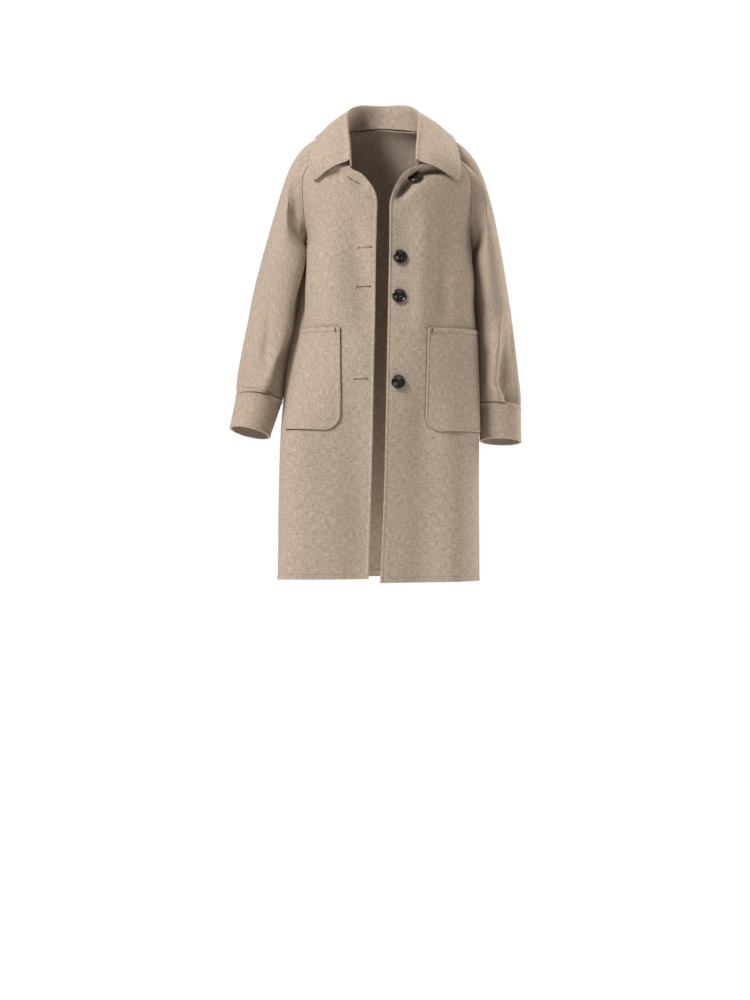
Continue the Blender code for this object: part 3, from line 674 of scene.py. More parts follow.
def sleeve_line(side, start, end, share):
    """A point between the armhole and the upper arm, leaving one and arriving at the other smoothly."""
    ring = arm_frame(side, 0)
    arrive = unit(ring.down - ring.outward * CAP_FLARE * math.cos(math.radians(start.angle)))
    begin = start.point + start.ridge * RIDGE
    span = np.linalg.norm(end - begin)
    pull = begin + start.leave * span * start.pull_start
    rest = end - arrive * span * start.pull_end
    other = 1 - share
    return (begin * other ** 3 + pull * 3 * other * other * share
            + rest * 3 * other * share * share + end * share ** 3)


def sleeve_half_points(side, half):
    """The rows of points of half a sleeve, armhole to cuff seam, underarm seam to overarm seam."""
    stations = armhole(side, half)
    angles = [start.angle for start in stations]
    upper_arm = arm_ring(side, angles, 0)
    rows = [[start.point + start.ridge * RAGLAN_GAP for start in stations]]
    for step in range(CAP_STEPS):
        rows.append([sleeve_line(side, start, end, step / CAP_STEPS)
                     for start, end in zip(stations, upper_arm)])
    for step in range(ARM_STEPS + 1):
        rows.append(arm_ring(side, angles, CUFF_RING * step / ARM_STEPS))
    points = np.array(rows)
    for edge, inner in ((0, 1), (-1, -2)):
        inward = points[:, inner] - points[:, edge]
        inward /= np.linalg.norm(inward, axis=1, keepdims=True)
        points[:, edge] -= inward * SEAM_LAP / 2
    return points


def panel_places():
    """Row places of a body panel from the hem to the underarm and on to the neck."""
    hem = [line * MM / HEM_ROW_SPAN for line in HEM_LINES]
    start = hem[-1]
    lower = [start + (UNDERARM_ROW - start) * step / HEM_TO_UNDERARM_STEPS
             for step in range(1, HEM_TO_UNDERARM_STEPS)]
    return hem + lower + raglan_places()


def side_ridge(side, place):
    """The side seam's point and the direction across its pressed ridge, towards the front."""
    near = 1 - RIDGE_NEAR
    seam = front_point(side, 1.0, place)
    from_front = unit(seam - front_point(side, near, place))
    from_back = unit(seam - back_point(SIGN[side] * near, place))
    return seam, unit(from_back - from_front)


def seam_strip(side, half, index, stations):
    """The strip that finishes a body panel's row at the side, along its seam's flattened ridge."""
    places = panel_places()
    underarm = len(places) - len(raglan_shares())
    seam, ridge = side_ridge(side, min(places[index], float(UNDERARM_ROW)))
    inward = ridge if half == "front" else -ridge
    if index > underarm:
        start = stations[index - underarm]
        seam = start.point
        above = smooth(raglan_shares()[index - underarm] / UNDERARM_BLEND)
        inward = unit(inward * (1 - above) - start.ridge * above)
    return [seam + inward * RIDGE, seam - inward * SEAM_LAP / 2]


def front_points(side):
    """Rows of points of a front panel, front edge to side, crowded along its turned edge."""
    stations = armhole(side, "front")
    rows = []
    for index, place in enumerate(panel_places()):
        start = front_point(side, 0.0, place)
        width = np.linalg.norm(front_point(side, 1.0, place) - start)
        speed = np.linalg.norm(front_point(side, RIDGE_NEAR, place) - start) / RIDGE_NEAR
        squeeze = min(1.0, EDGE_SHARE_LIMIT * width / (EDGE_LINES[-1] * MM))
        near = [line * MM * squeeze / speed for line in EDGE_LINES]
        far = 1 - min(RIDGE_ROOM / width, RIDGE_ROOM_LIMIT)
        shares = near + [near[-1] + (far - near[-1]) * step / FRONT_STEPS
                         for step in range(1, FRONT_STEPS + 1)]
        points = [front_point(side, share, place) for share in shares]
        rows.append(points + seam_strip(side, "front", index, stations))
    return np.array(rows)


def back_points():
    """Rows of points of the back, right side to left side."""
    stations = {side: armhole(side, "back") for side in SIGN}
    rows = []
    for index, place in enumerate(panel_places()):
        halves = []
        for side in SIGN:
            width = np.linalg.norm(back_point(SIGN[side], place) - back_point(0.0, place))
            far = 1 - RIDGE_ROOM / width
            points = [back_point(SIGN[side] * far * step / BACK_STEPS, place)
                      for step in range(BACK_STEPS + 1)]
            halves.append(points + seam_strip(side, "back", index, stations[side]))
        rows.append(halves[0][:0:-1] + halves[1])
    return np.array(rows)


def neck_line(side):
    """Points of the neckline from the front corner round to the middle of the back."""
    points = [front_point(side, 0.0, place) for place in (CORNER_ROW, CORNER_ROW + 1, NECK_ROW)]
    return points + [neck_side(side), back_raglan(side, NECK_ROW), back_point(0.0, NECK_ROW)]


def collar_lines():
    """The neck seam, roll line and outer edge from the right front end round to the left one."""
    seam = neck_line("right")[:-1] + neck_line("left")[::-1]
    rolls = []
    edges = []
    swells = [[station.swell] for station in COLLAR[:-1] + COLLAR[::-1]]
    for station in COLLAR[:-1]:
        rolls.append((-station.roll_x, station.roll_y, station.roll_z))
        edges.append((-station.right_x, station.edge_y, station.edge_z))
    for station in COLLAR[::-1]:
        rolls.append((station.roll_x, station.roll_y, station.roll_z))
        edges.append((station.left_x, station.edge_y, station.edge_z))
    return seam, rolls, edges, swells


def collar_section(lines, place):
    """Points across the collar at a station, from the neck seam over the roll to the outer edge."""
    seams, rolls, edges, swells = lines
    seam = through(seams, place)
    roll = through(rolls, place) * MM
    edge = through(edges, place) * MM
    swell = np.array((0.0, through(swells, place)[0] * MM, 0.0))
    up = np.array((0.0, 0.0, 1.0))
    outward = unit((edge - roll) * np.array((1.0, 1.0, 0.0)))
    base = seam - outward * CLOTH + up * COLLAR_RISE
    over = roll + outward * ROLL_OUT * ROLL_OVER - up * ROLL_DROP
    points = [base + (roll - base) * share for share in STAND_SHARES]
    points.append(roll + outward * ROLL_OUT * ROLL_CROWN + up * ROLL_TOP)
    points.append(over)
    rise = (up + outward * FALL_LEAN) * FALL_BULGE + swell
    for step in range(1, FALL_STEPS + 1):
        share = step / FALL_STEPS
        bulge = math.sin(math.pi * share) * (1 - FALL_TAPER * share)
        points.append(over + (edge - over) * share + rise * bulge)
    return points


def collar_points():
    """Rows of points across the collar, its outer corners rounded, crowded at its ends and edge."""
    lines = collar_lines()
    span = 2 * COLLAR_STATIONS
    sections = [collar_section(lines, span * share) for share in crowded(COLLAR_STEPS)]
    from_right = runs_along([section[-1] for section in sections])
    from_end = np.minimum(from_right, from_right[-1] - from_right)
    rows = []
    for section, end in zip(sections, from_end):
        short = max(COLLAR_CORNER - end, 0.0)
        cut = COLLAR_CORNER - math.sqrt(COLLAR_CORNER ** 2 - short ** 2)
        last = len(section) - 1
        fall = np.linalg.norm(section[-1] - section[-2])
        reach = last - cut / fall
        edge_places = [reach - line * MM / fall for line in EDGE_LINES[::-1]]
        even = [edge_places[0] * step / COLLAR_ACROSS for step in range(COLLAR_ACROSS)]
        rows.append([through(section, place) for place in even + edge_places])
    return np.array(rows)


def halved(high, below):
    """The value between 0 and a limit up to which a test holds."""
    low = 0.0
    for _ in range(HALVINGS):
        middle = (low + high) / 2
        if below(middle):
            low = middle
        else:
            high = middle
    return low


def front_place(side, height):
    """The row place of a front panel at a height in metres, at its front edge."""
    return halved(float(CORNER_ROW), lambda place: front_point(side, 0.0, place)[2] < height)


def front_share(side, across, place):
    """The share of a front panel's width at a distance across, on one row."""
    return halved(1.0, lambda share: SIGN[side] * (front_point(side, share, place)[0] - across) < 0)


def front_normal(side, share, place):
    """The outward direction of a front panel."""
    near = NORMAL_NEAR
    along = front_point(side, share + near, place) - front_point(side, share - near, place)
    up = front_point(side, share, place + near) - front_point(side, share, place - near)
    return unit(np.cross(along, up) * SIGN[side])


def pocket_points(side):
    """Rows of a pocket from the front panel's points moved out, its lower inner corner rounded."""
    pocket = POCKETS[side]
    tall = (pocket.top - pocket.bottom) * MM
    low = [line * MM for line in EDGE_LINES]
    high = [tall - line * MM for line in HEM_LINES[::-1]]
    rows = []
    for rise in low + list(np.linspace(low[-1], high[0], POCKET_ROWS)[1:-1]) + high:
        place = front_place(side, pocket.bottom * MM + rise)
        inner = (pocket.bottom_x + (pocket.top_x - pocket.bottom_x) * rise / tall) * MM
        short = max(POCKET_CORNER - rise, 0.0)
        inner += SIGN[side] * (POCKET_CORNER - math.sqrt(max(POCKET_CORNER ** 2 - short ** 2, 0.0)))
        near = front_share(side, inner, place)
        half_width = np.linalg.norm(front_point(side, 1.0, place) - front_point(side, 0.5, place))
        far = 1 - RIDGE_ROOM / (2 * half_width)
        puff = POCKET_PUFF * (rise / tall) ** 2
        line = []
        for across in crowded(POCKET_STEPS):
            share = near + (far - near) * across
            lift = POCKET_LIFT + puff * math.sin(math.pi * across)
            point = front_point(side, share, place)
            to_side = np.linalg.norm(front_point(side, 1.0, place) - point)
            lift += fold_height(FRONT_FOLDS[side], point[0], point[2]) * side_calm(to_side, point[2])
            line.append(point + front_normal(side, share, place) * lift)
        overhang = unit(line[-1] - line[-1 - STEADY_LINES]) * POCKET_OVERHANG
        line += [line[-1] + overhang * share for share in POCKET_OVERHANG_SHARES]
        rows.append(line)
    return np.array(rows)


def side_calm(to_side, z):
    """How much of a fold is left near the side seam, less of it low down."""
    return smooth(to_side / (SEAM_CALM * (1 + smooth((LOW_CALM - z) / LOW_CALM_SPAN))))


def fold_height(folds, x, z):
    """How far the folds stand out at places seen from the front or the back, in metres."""
    x = np.asarray(x, float)
    z = np.asarray(z, float)
    total = np.zeros_like(x)
    for number, fold in enumerate(folds):
        path = np.array(fold.path, float) * MM
        runs = runs_along(path)
        nearest = np.full_like(x, np.inf)
        place = np.zeros_like(x)
        beyond = np.zeros_like(x)
        for start, end, run in zip(path, path[1:], runs):
            step = end - start
            length = np.linalg.norm(step)
            share = np.clip(((x - start[0]) * step[0] + (z - start[1]) * step[1]) / length ** 2, 0, 1)
            gap = np.hypot(x - start[0] - share * step[0], z - start[1] - share * step[1])
            place = np.where(gap < nearest, (run + share * length) / runs[-1], place)
            turn = step[0] * (z - start[1]) - step[1] * (x - start[0])
            beyond = np.where(gap < nearest, turn, beyond)
            nearest = np.minimum(gap, nearest)
        ends = smooth(np.minimum(place, 1 - place) / FOLD_END)
        uneven = 1 + FOLD_UNEVEN * np.sin(place * FOLD_WAVES + number * FOLD_SHIFT)
        width = np.where(beyond > 0, fold.far or fold.width, fold.width) * MM
        total = total + fold.depth * MM * ends * uneven * np.exp(-(nearest / width) ** 2)
    return total


def groove(distance, at, width, height):
    """A soft roll or groove of a height in mm, at a distance in metres from an edge."""
    return height * MM * np.exp(-((distance / MM - at) / width) ** 2)


def turned_edge(distance):
    """The roll and the felled line of a turned edge."""
    return (groove(distance, ROLL_AT, ROLL_WIDTH, ROLL_HEIGHT)
            - groove(distance, FELL_AT, FELL_WIDTH, FELL_DEPTH))


def stitched_hem(distance):
    """The roll and the sunk row of stitching along a hem."""
    return (groove(distance, ROLL_AT, ROLL_WIDTH, ROLL_HEIGHT / 2)
            - groove(distance, HEM_STITCH / MM, STITCH_WIDTH, STITCH_DEPTH))


def slack(points):
    """The small unevenness of hanging cloth."""
    heights = [noise.noise(Vector(point) / SLACK_SPAN) for point in points.reshape(-1, 3)]
    return np.array(heights).reshape(points.shape[:2]) * SLACK_HEIGHT


def firm_edges(points):
    """Add a line of points just inside each edge, so that rounding leaves the edge where it is."""
    for axis in (0, 1):
        lines = np.moveaxis(points, axis, 0)
        pieces = []
        for edge, inner in ((lines[0], lines[1]), (lines[-1], lines[-2])):
            step = inner - edge
            length = np.linalg.norm(step, axis=1, keepdims=True)
            pieces.append(edge + step * np.minimum(EDGE_ROOM / np.maximum(length, WELD), 0.5))
        lines = np.concatenate([lines[:1], pieces[0][None], lines[1:-1], pieces[1][None], lines[-1:]])
        points = np.moveaxis(lines, 0, axis)
    return points


def finer(points):
    """Points with one more between each two across, on a smooth curve through them."""
    places = np.arange(2 * points.shape[1] - 1) / 2
    return np.array([[through(row, place) for place in places] for row in points])


def measured(points, outward):
    """A panel of points with its outward normals and its distances across and along."""
    across_step = np.gradient(points, axis=1)
    along_step = np.gradient(points, axis=0)
    normals = np.cross(across_step, along_step)
    normals /= np.maximum(np.linalg.norm(normals, axis=2, keepdims=True), WELD ** 2)
    if np.sum(normals * outward(points)) < 0:
        normals = -normals
    across = np.zeros(points.shape[:2])
    across[:, 1:] = np.cumsum(np.linalg.norm(np.diff(points, axis=1), axis=2), axis=1)
    along = np.zeros(points.shape[:2])
    along[1:] = np.cumsum(np.linalg.norm(np.diff(points, axis=0), axis=2), axis=0)
    return Panel(points, normals, across, along)


def shaped(panel, height):
    """A panel with its points moved out by a height."""
    return panel._replace(points=panel.points + panel.normals * height[..., None])


def away_from_body(points):
    """Roughly outward from the middle of the body."""
    return points * np.array((1.0, 1.0, 0.0))


def away_from_arm(side):
    """Roughly outward from the middle of a sleeve."""
    middle = arm_frame(side, MIDDLE_RING).middle

    def outward(points):
        return (points - middle) * np.array((1.0, 1.0, 0.0))
    return outward


def upward(points):
    """The collar's shown face looks up and out."""
    return points * np.array((0.5, 0.5, 0.0)) + np.array((0.0, 0.0, 1.0))


def front_panel(side):
    """A front with its folds, its turned front edge and its stitched hem."""
    panel = measured(firm_edges(front_points(side)), away_from_body)
    x = panel.points[..., 0]
    z = panel.points[..., 2]
    to_side = panel.across[:, -1:] - panel.across
    to_neck = panel.along[-1:] - panel.along
    calm = side_calm(to_side, z) * smooth(to_neck / SEAM_CALM)
    height = (fold_height(FRONT_FOLDS[side], x, z) + slack(panel.points)) * calm
    height += turned_edge(panel.across) + stitched_hem(panel.along)
    height -= groove(to_side, 0.0, SEAM_WIDTH, SEAM_DEPTH)
    return shaped(panel, height)


def back_panel():
    """The back with its folds and its stitched hem."""
    panel = measured(firm_edges(back_points()), away_from_body)
    to_side = np.minimum(panel.across, panel.across[:, -1:] - panel.across)
    to_neck = panel.along[-1:] - panel.along
    calm = smooth(to_side / BACK_CALM) * smooth(to_neck / (2 * SEAM_CALM))
    height = (fold_height(BACK_FOLDS, panel.points[..., 0], panel.points[..., 2])
              + slack(panel.points)) * calm
    z = panel.points[..., 2]
    beside_arm = smooth((z - ARM_PRESS_LOW) / SLACK_SPAN) * smooth((ARM_PRESS_TOP - z) / SEAM_CALM)
    height -= groove(to_side, 0.0, SEAM_WIDTH, SEAM_DEPTH)
    height += ARM_PRESS * beside_arm * np.exp(-((to_side - ARM_PRESS_IN) / ARM_PRESS_WIDTH) ** 2)
    return shaped(panel, height + stitched_hem(panel.along))


def sleeve_panel(side, half):
    """Half a sleeve with its folds, drawn in a little at the cuff seam."""
    points = sleeve_half_points(side, half)
    if half == "front":
        points = finer(points)
    panel = measured(firm_edges(points), away_from_arm(side))
    to_seam = np.minimum(panel.across, panel.across[:, -1:] - panel.across)
    to_cuff = panel.along[-1:] - panel.along
    calm = smooth(to_seam / SEAM_CALM) * smooth(panel.along / SEAM_CALM) * smooth(to_cuff / CUFF_CALM)
    height = (fold_height(SLEEVE_FOLDS[side, half], panel.points[..., 0], panel.points[..., 2])
              + slack(panel.points)) * calm
    to_any = np.minimum(to_seam, np.minimum(panel.along, to_cuff))
    return shaped(panel, height - groove(to_any, 0.0, SEAM_WIDTH, SEAM_DEPTH))


def collar_panel():
    """The collar with its turned edge and a little slack in its fall."""
    panel = measured(firm_edges(collar_points()), upward)
    to_edge = panel.across[:, -1:] - panel.across
    to_end = np.minimum(panel.along, panel.along[-1:] - panel.along)
    height = slack(panel.points) * smooth(panel.across / (2 * SEAM_CALM))
    height += turned_edge(np.minimum(to_edge, to_end))
    return shaped(panel, height)


def pocket_panel(side):
    """A patch pocket with its sewn edges and the stitched hem along its top."""
    panel = measured(firm_edges(pocket_points(side)), away_from_body)
    to_top = panel.along[-1:] - panel.along
    to_edge = np.minimum(panel.across, panel.along)
    height = turned_edge(to_edge) + groove(to_top, POCKET_ROLL_AT, POCKET_ROLL_WIDTH, POCKET_ROLL_HEIGHT)
    height -= groove(to_top, POCKET_STITCH / MM, STITCH_WIDTH, POCKET_STITCH_DEPTH)
    return shaped(panel, height)


def linear(code):
    """A colour from its sRGB hex code."""
    parts = [int(code[index:index + 2], 16) / 255 for index in (0, 2, 4)]
    return tuple(part / 12.92 if part <= 0.04045 else ((part + 0.055) / 1.055) ** 2.4
                 for part in parts) + (1.0,)


def fill(tree, node, inputs):
    """Set or link a node's inputs."""
    for name, value in inputs.items():
        if isinstance(value, bpy.types.NodeSocket):
            tree.links.new(value, node.inputs[name])
        else:
            node.inputs[name].default_value = value


def add_node(tree, kind, inputs=None, **settings):
    """Add a node with its settings and its inputs."""
    node = tree.nodes.new(kind)
    for name, value in settings.items():
        setattr(node, name, value)
    fill(tree, node, inputs or {})
    return node


def new_material(name):
    """An empty material with its tree and its shader."""
    material = bpy.data.materials.new(name)
    material.use_nodes = True
    return material, material.node_tree, material.node_tree.nodes["Principled BSDF"]


def brushed_cashmere():
    """Double-faced cashmere coating, woven, felted and brushed: a matt heather of pale and darker
    fibres with short streaks both ways and a soft nap that lights up where it is seen edge on.
    The real yarns are under 1 mm and too fine to see from here, so the streaks are drawn coarser."""
    material, tree, shader = new_material("brushed_cashmere")
    place = add_node(tree, "ShaderNodeUVMap", uv_map="cloth").outputs["UV"]
    streaks = []
    for across_mm, along_mm in ((11.0, 2.2), (2.2, 13.0)):
        stretched = add_node(tree, "ShaderNodeMapping", {
            "Vector": place, "Scale": (1 / (across_mm * MM), 1 / (along_mm * MM), 1.0)})
        streak = add_node(tree, "ShaderNodeTexNoise", {
            "Vector": stretched.outputs["Vector"], "Scale": 1.0, "Detail": 2.0, "Roughness": 0.55})
        streaks.append(streak.outputs["Fac"])
    weave = add_node(tree, "ShaderNodeMath", {0: streaks[0], 1: streaks[1]}, operation="ADD")
    fibre = add_node(tree, "ShaderNodeTexNoise", {
        "Vector": place, "Scale": 1 / (1.5 * MM), "Detail": 3.0, "Roughness": 0.7})
    heather = add_node(tree, "ShaderNodeMath", {
        0: weave.outputs[0], 1: fibre.outputs["Fac"]}, operation="ADD")
    spread = add_node(tree, "ShaderNodeMapRange", {
        "Value": heather.outputs[0], "From Min": 1.05, "From Max": 1.95})
    cloud = add_node(tree, "ShaderNodeTexNoise", {
        "Vector": place, "Scale": 1 / (70 * MM), "Detail": 2.0})
    tone = add_node(tree, "ShaderNodeMix", {
        0: spread.outputs[0], 6: linear("84776A"), 7: linear("C9BBAC")}, data_type="RGBA")
    faded = add_node(tree, "ShaderNodeMix", {
        0: cloud.outputs["Fac"], 6: tone.outputs[2], 7: linear("A3968A")}, data_type="RGBA")
    soft = add_node(tree, "ShaderNodeMix", {
        0: 0.35, 6: tone.outputs[2], 7: faded.outputs[2]}, data_type="RGBA")
    nap = add_node(tree, "ShaderNodeBump", {
        "Height": heather.outputs[0], "Strength": 0.35, "Distance": 0.5 * MM})
    fill(tree, shader, {
        "Base Color": soft.outputs[2], "Normal": nap.outputs["Normal"],
        "Roughness": 0.92, "Specular IOR Level": 0.12,
        "Sheen Weight": 0.22, "Sheen Roughness": 0.45, "Sheen Tint": linear("EDE6DD")})
    return material


def silk_thread(name, code):
    """Twisted silk thread: a fine lustre with its ply seen as close diagonal lines, drawn coarser
    than the real ply, which is too fine to see."""
    material, tree, shader = new_material(name)
    place = add_node(tree, "ShaderNodeTexCoord").outputs["Object"]
    ply = add_node(tree, "ShaderNodeTexWave", {
        "Vector": place, "Scale": 1 / (6.0 * MM), "Distortion": 1.5}, bands_direction="DIAGONAL")
    dark = tuple(part * 0.72 for part in linear(code)[:3]) + (1.0,)
    tone = add_node(tree, "ShaderNodeMix", {
        0: ply.outputs["Fac"], 6: dark, 7: linear(code)}, data_type="RGBA")
    fill(tree, shader, {"Base Color": tone.outputs[2], "Roughness": 0.6})
    return material


def polished_resin():
    """Cast and tumbled polyester resin, near black: a deep gloss, duller in faint clouds."""
    material, tree, shader = new_material("polished_resin")
    place = add_node(tree, "ShaderNodeTexCoord").outputs["Object"]
    cloud = add_node(tree, "ShaderNodeTexNoise", {
        "Vector": place, "Scale": 1 / (6.0 * MM), "Detail": 4.0, "Distortion": 0.6})
    tone = add_node(tree, "ShaderNodeMix", {
        0: cloud.outputs["Fac"], 6: linear("0C0B0C"), 7: linear("221E20")}, data_type="RGBA")
    wear = add_node(tree, "ShaderNodeMapRange", {
        "Value": cloud.outputs["Fac"], "To Min": 0.1, "To Max": 0.22})
    fill(tree, shader, {
        "Base Color": tone.outputs[2], "Roughness": wear.outputs[0], "IOR": 1.55,
        "Coat Weight": 0.4, "Coat Roughness": 0.06})
    return material


def studio_floor():
    """White painted studio floor: matt, with a faint roller texture, lit so that it meets the white."""
    material, tree, shader = new_material("studio_paint")
    place = add_node(tree, "ShaderNodeTexCoord").outputs["Object"]
    roller = add_node(tree, "ShaderNodeTexNoise", {"Vector": place, "Scale": 60.0, "Detail": 3.0})
    tone = add_node(tree, "ShaderNodeMix", {
        0: roller.outputs["Fac"], 6: linear("EFEDEA"), 7: linear("F4F3F1")}, data_type="RGBA")
    fill(tree, shader, {
        "Base Color": tone.outputs[2], "Roughness": 0.8,
        "Emission Color": linear("FFFFFF"), "Emission Strength": 0.5})
    return material


CASHMERE = brushed_cashmere()
TWIST = silk_thread("buttonhole_twist", "7E6D5C")
# Felling thread, made darker than the cloth so that its row also paints the shade in the crevice under a
# pocket's edge
FELLING_AND_CREVICE_SHADE = silk_thread("felling_thread_and_crevice_shade", "76675A")
TOPSTITCH = silk_thread("topstitch_thread", "AE9A83")
BUTTON_THREAD = silk_thread("button_thread", "17140F")
# Painted shade: the shade inside a buttonhole's slit and eyelet is drawn as dark thread in this colour,
# which is also the real dark thread of the pockets' bar tacks
BUTTONHOLE_SHADE_AND_TACK = silk_thread("buttonhole_shade_and_tack_thread", "5C4C3D")
RESIN = polished_resin()


def add_object(name, data):
    """Put a mesh, a camera or a light into the scene."""
    thing = bpy.data.objects.new(name, data)
    bpy.context.scene.collection.objects.link(thing)
    return thing


def add_shape(name, bm, materials):
    """Put a finished shape into the scene, with its materials."""
    mesh = bpy.data.meshes.new(name)
    bm.to_mesh(mesh)
    bm.free()
    for material in materials:
        mesh.materials.append(material)
    return add_object(name, mesh)


def add_piece(name, bm, materials):
    """Put a finished shape on the coat's root body, smoothly shaded."""
    piece = add_shape(name, bm, materials)
    for face in piece.data.polygons:
        face.use_smooth = True
    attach(piece, "root")
    return piece


def rounded(piece):
    """Round a piece with one level of subdivision."""
    soft = piece.modifiers.new("soft edges", "SUBSURF")
    soft.levels = 1
    soft.render_levels = 1


def grid_place(vertex, columns, rows):
    """The row and column of a vertex of a flat unit grid."""
    return round((vertex.co.y + 0.5) * rows), round((vertex.co.x + 0.5) * columns)


def cloth_piece(name, panel, node):
    """A cut piece of cloth: a grid laid on a panel's points, thickened to the inside and rounded."""
    rows = panel.points.shape[0] - 1
    columns = panel.points.shape[1] - 1
    bm = bmesh.new()
    bmesh.ops.create_grid(bm, x_segments=columns, y_segments=rows, size=0.5)
    cloth = bm.loops.layers.uv.new("cloth")
    places = {vertex: grid_place(vertex, columns, rows) for vertex in bm.verts}
    for face in bm.faces:
        for loop in face.loops:
            place = places[loop.vert]
            loop[cloth].uv = (panel.across[place], panel.along[place])
    for vertex, place in places.items():
        vertex.co = panel.points[place]
    bm.normal_update()
    facing = sum(Vector(panel.normals[places[face.verts[0]]]).dot(face.normal) for face in bm.faces)
    if facing < 0:
        bmesh.ops.reverse_faces(bm, faces=bm.faces)
    piece = add_piece(name, bm, [CASHMERE])
    wall = piece.modifiers.new("cloth", "SOLIDIFY")
    wall.thickness = CLOTH
    wall.offset = -1.0
    wall.use_even_offset = False
    rounded(piece)
    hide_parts(node)
    return piece


def cuff_piece(side):
    """A cuff band, a closed ring of doubled cloth below the sleeve's end."""
    bm = bmesh.new()
    bmesh.ops.create_grid(bm, x_segments=CUFF_STEPS, y_segments=len(CUFF_WALL), size=0.5)
    cloth = bm.loops.layers.uv.new("cloth")
    last = len(ARM_RINGS[side]) - 1
    length = np.linalg.norm(arm_frame(side, last).middle - arm_frame(side, CUFF_RING).middle)
    girth = math.pi * (arm_frame(side, last).half_width + arm_frame(side, last).half_depth)
    start = CUFF_RING + CUFF_GAP / length
    angles = [360.0 * column / CUFF_STEPS for column in range(CUFF_STEPS)]
    places = {vertex: grid_place(vertex, CUFF_STEPS, len(CUFF_WALL)) for vertex in bm.verts}
    for face in bm.faces:
        for loop in face.loops:
            row, column = places[loop.vert]
            down = CUFF_WALL[min(row, len(CUFF_WALL) - 1)][0]
            loop[cloth].uv = (girth * column / CUFF_STEPS, -length * down)
    rings = []
    for down, inside in CUFF_WALL:
        place = start + (last - start) * down
        middle = arm_frame(side, place).middle
        ring = np.array(arm_ring(side, angles, place))
        outward = ring - middle
        outward /= np.linalg.norm(outward, axis=1, keepdims=True)
        from_top = length * down
        from_mouth = length * (1 - down)
        lift = slack(ring[None])[0] * CUFF_SLACK * math.sin(math.pi * down)
        if not inside:
            lift = lift + turned_edge(from_mouth) + groove(from_top, ROLL_AT, ROLL_WIDTH, CUFF_ROLL)
        rings.append(ring + outward * (lift - CUFF_CLOTH * inside)[:, None])
    for vertex, (row, column) in places.items():
        vertex.co = rings[row % len(CUFF_WALL)][column % CUFF_STEPS]
    bmesh.ops.remove_doubles(bm, verts=bm.verts, dist=WELD)
    bmesh.ops.recalc_face_normals(bm, faces=bm.faces)
    piece = add_piece("cuff_%s_cloth" % side, bm, [CASHMERE])
    rounded(piece)
    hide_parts("cuff_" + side)
    return piece


def add_stitch(bm, point, along, up, stitch, material_index=0):
    """A stitch of thread lying on the cloth along a direction."""
    middle = np.array(point) + np.array(up) * stitch.rise * MM
    along = unit(np.array(along))
    side = unit(np.cross(up, along))
    up = np.cross(along, side)
    turn = np.eye(4)
    turn[:3, 0] = side * stitch.width * MM / 2
    turn[:3, 1] = up * stitch.height * MM / 2
    turn[:3, 2] = along * stitch.length * MM / 2
    turn[:3, 3] = middle
    made = bmesh.ops.create_uvsphere(bm, u_segments=STITCH_AROUND, v_segments=STITCH_ALONG,
                                     radius=1.0, matrix=Matrix(turn))
    faces = {face for vertex in made["verts"] for face in vertex.link_faces}
    for face in faces:
        face.material_index = material_index


def stitch_line(bm, line, normals, stitch, material_index=0):
    """A row of stitches along a line on the cloth."""
    runs = runs_along(line)
    length = stitch.length * MM
    pitch = (stitch.length + stitch.gap) * MM
    for number in range(int(runs[-1] / pitch)):
        run = (number + 0.5) * pitch
        spots = [np.array([np.interp(at, runs, line[:, axis]) for axis in range(3)])
                 for at in (run - length / 2, run, run + length / 2)]
        normal = unit(np.array([np.interp(run, runs, normals[:, axis]) for axis in range(3)]))
        add_stitch(bm, spots[1], spots[2] - spots[0], normal, stitch, material_index)


def row_near(panel, distance, from_end=False):
    """The index of the row of points nearest to a distance from the panel's first or last row."""
    middle = panel.along.shape[1] // 2
    column = panel.along[:, middle]
    return int(np.argmin(np.abs((column[-1] - column if from_end else column) - distance)))


def hem_stitches(name, panel):
    """The row of stitching that holds a hem."""
    row = row_near(panel, HEM_STITCH)
    bm = bmesh.new()
    stitch_line(bm, panel.points[row], panel.normals[row], HEM_ROW)
    return add_piece(name, bm, [TOPSTITCH])


def fell_pocket(bm, panel):
    """The close stitches that hold a pocket's edge down to the front, sunk under that edge. Their dark
    thread paints the shade of the crevice there.
    """
    points = panel.points
    inner = points[::-1, 0] - panel.normals[::-1, 0] * CLOTH
    inner += FELL_OUT * np.array([unit(step) for step in points[::-1, 0] - points[::-1, STEADY_LINES]])
    bottom = points[0] - panel.normals[0] * CLOTH
    bottom += FELL_OUT * np.array([unit(step) for step in points[0] - points[STEADY_LINES]])
    line = np.concatenate([inner, bottom[1:]])
    normals = np.concatenate([panel.normals[::-1, 0], panel.normals[0, 1:]])
    stitch_line(bm, line, normals, FELL_ROW, 2)


def pocket_stitches(side, panel):
    """The stitching of a pocket's top hem and the bar tack at its inner end."""
    row = row_near(panel, POCKET_STITCH, from_end=True)
    bm = bmesh.new()
    shown = slice(POCKET_STITCH_FROM, None)
    stitch_line(bm, panel.points[row, shown], panel.normals[row, shown], POCKET_ROW)
    column = int(np.argmin(np.abs(panel.across[-1] - BAR_TACK_IN)))
    top = panel.points[BAR_TACK_TOP, column]
    drop = panel.points[row, column] - top
    normal = panel.normals[row, column]
    for number in range(BAR_TACK_STITCHES):
        share = (number + 0.5) / BAR_TACK_STITCHES
        from_top = share * np.linalg.norm(drop)
        roll = groove(from_top, POCKET_ROLL_AT, POCKET_ROLL_WIDTH, POCKET_ROLL_HEIGHT)
        add_stitch(bm, top + drop * share + normal * roll, np.cross(normal, drop), normal, BAR_TACK, 1)
    fell_pocket(bm, panel)
    return add_piece("pocket_%s_stitches" % side, bm, [TOPSTITCH, BUTTONHOLE_SHADE_AND_TACK, FELLING_AND_CREVICE_SHADE])


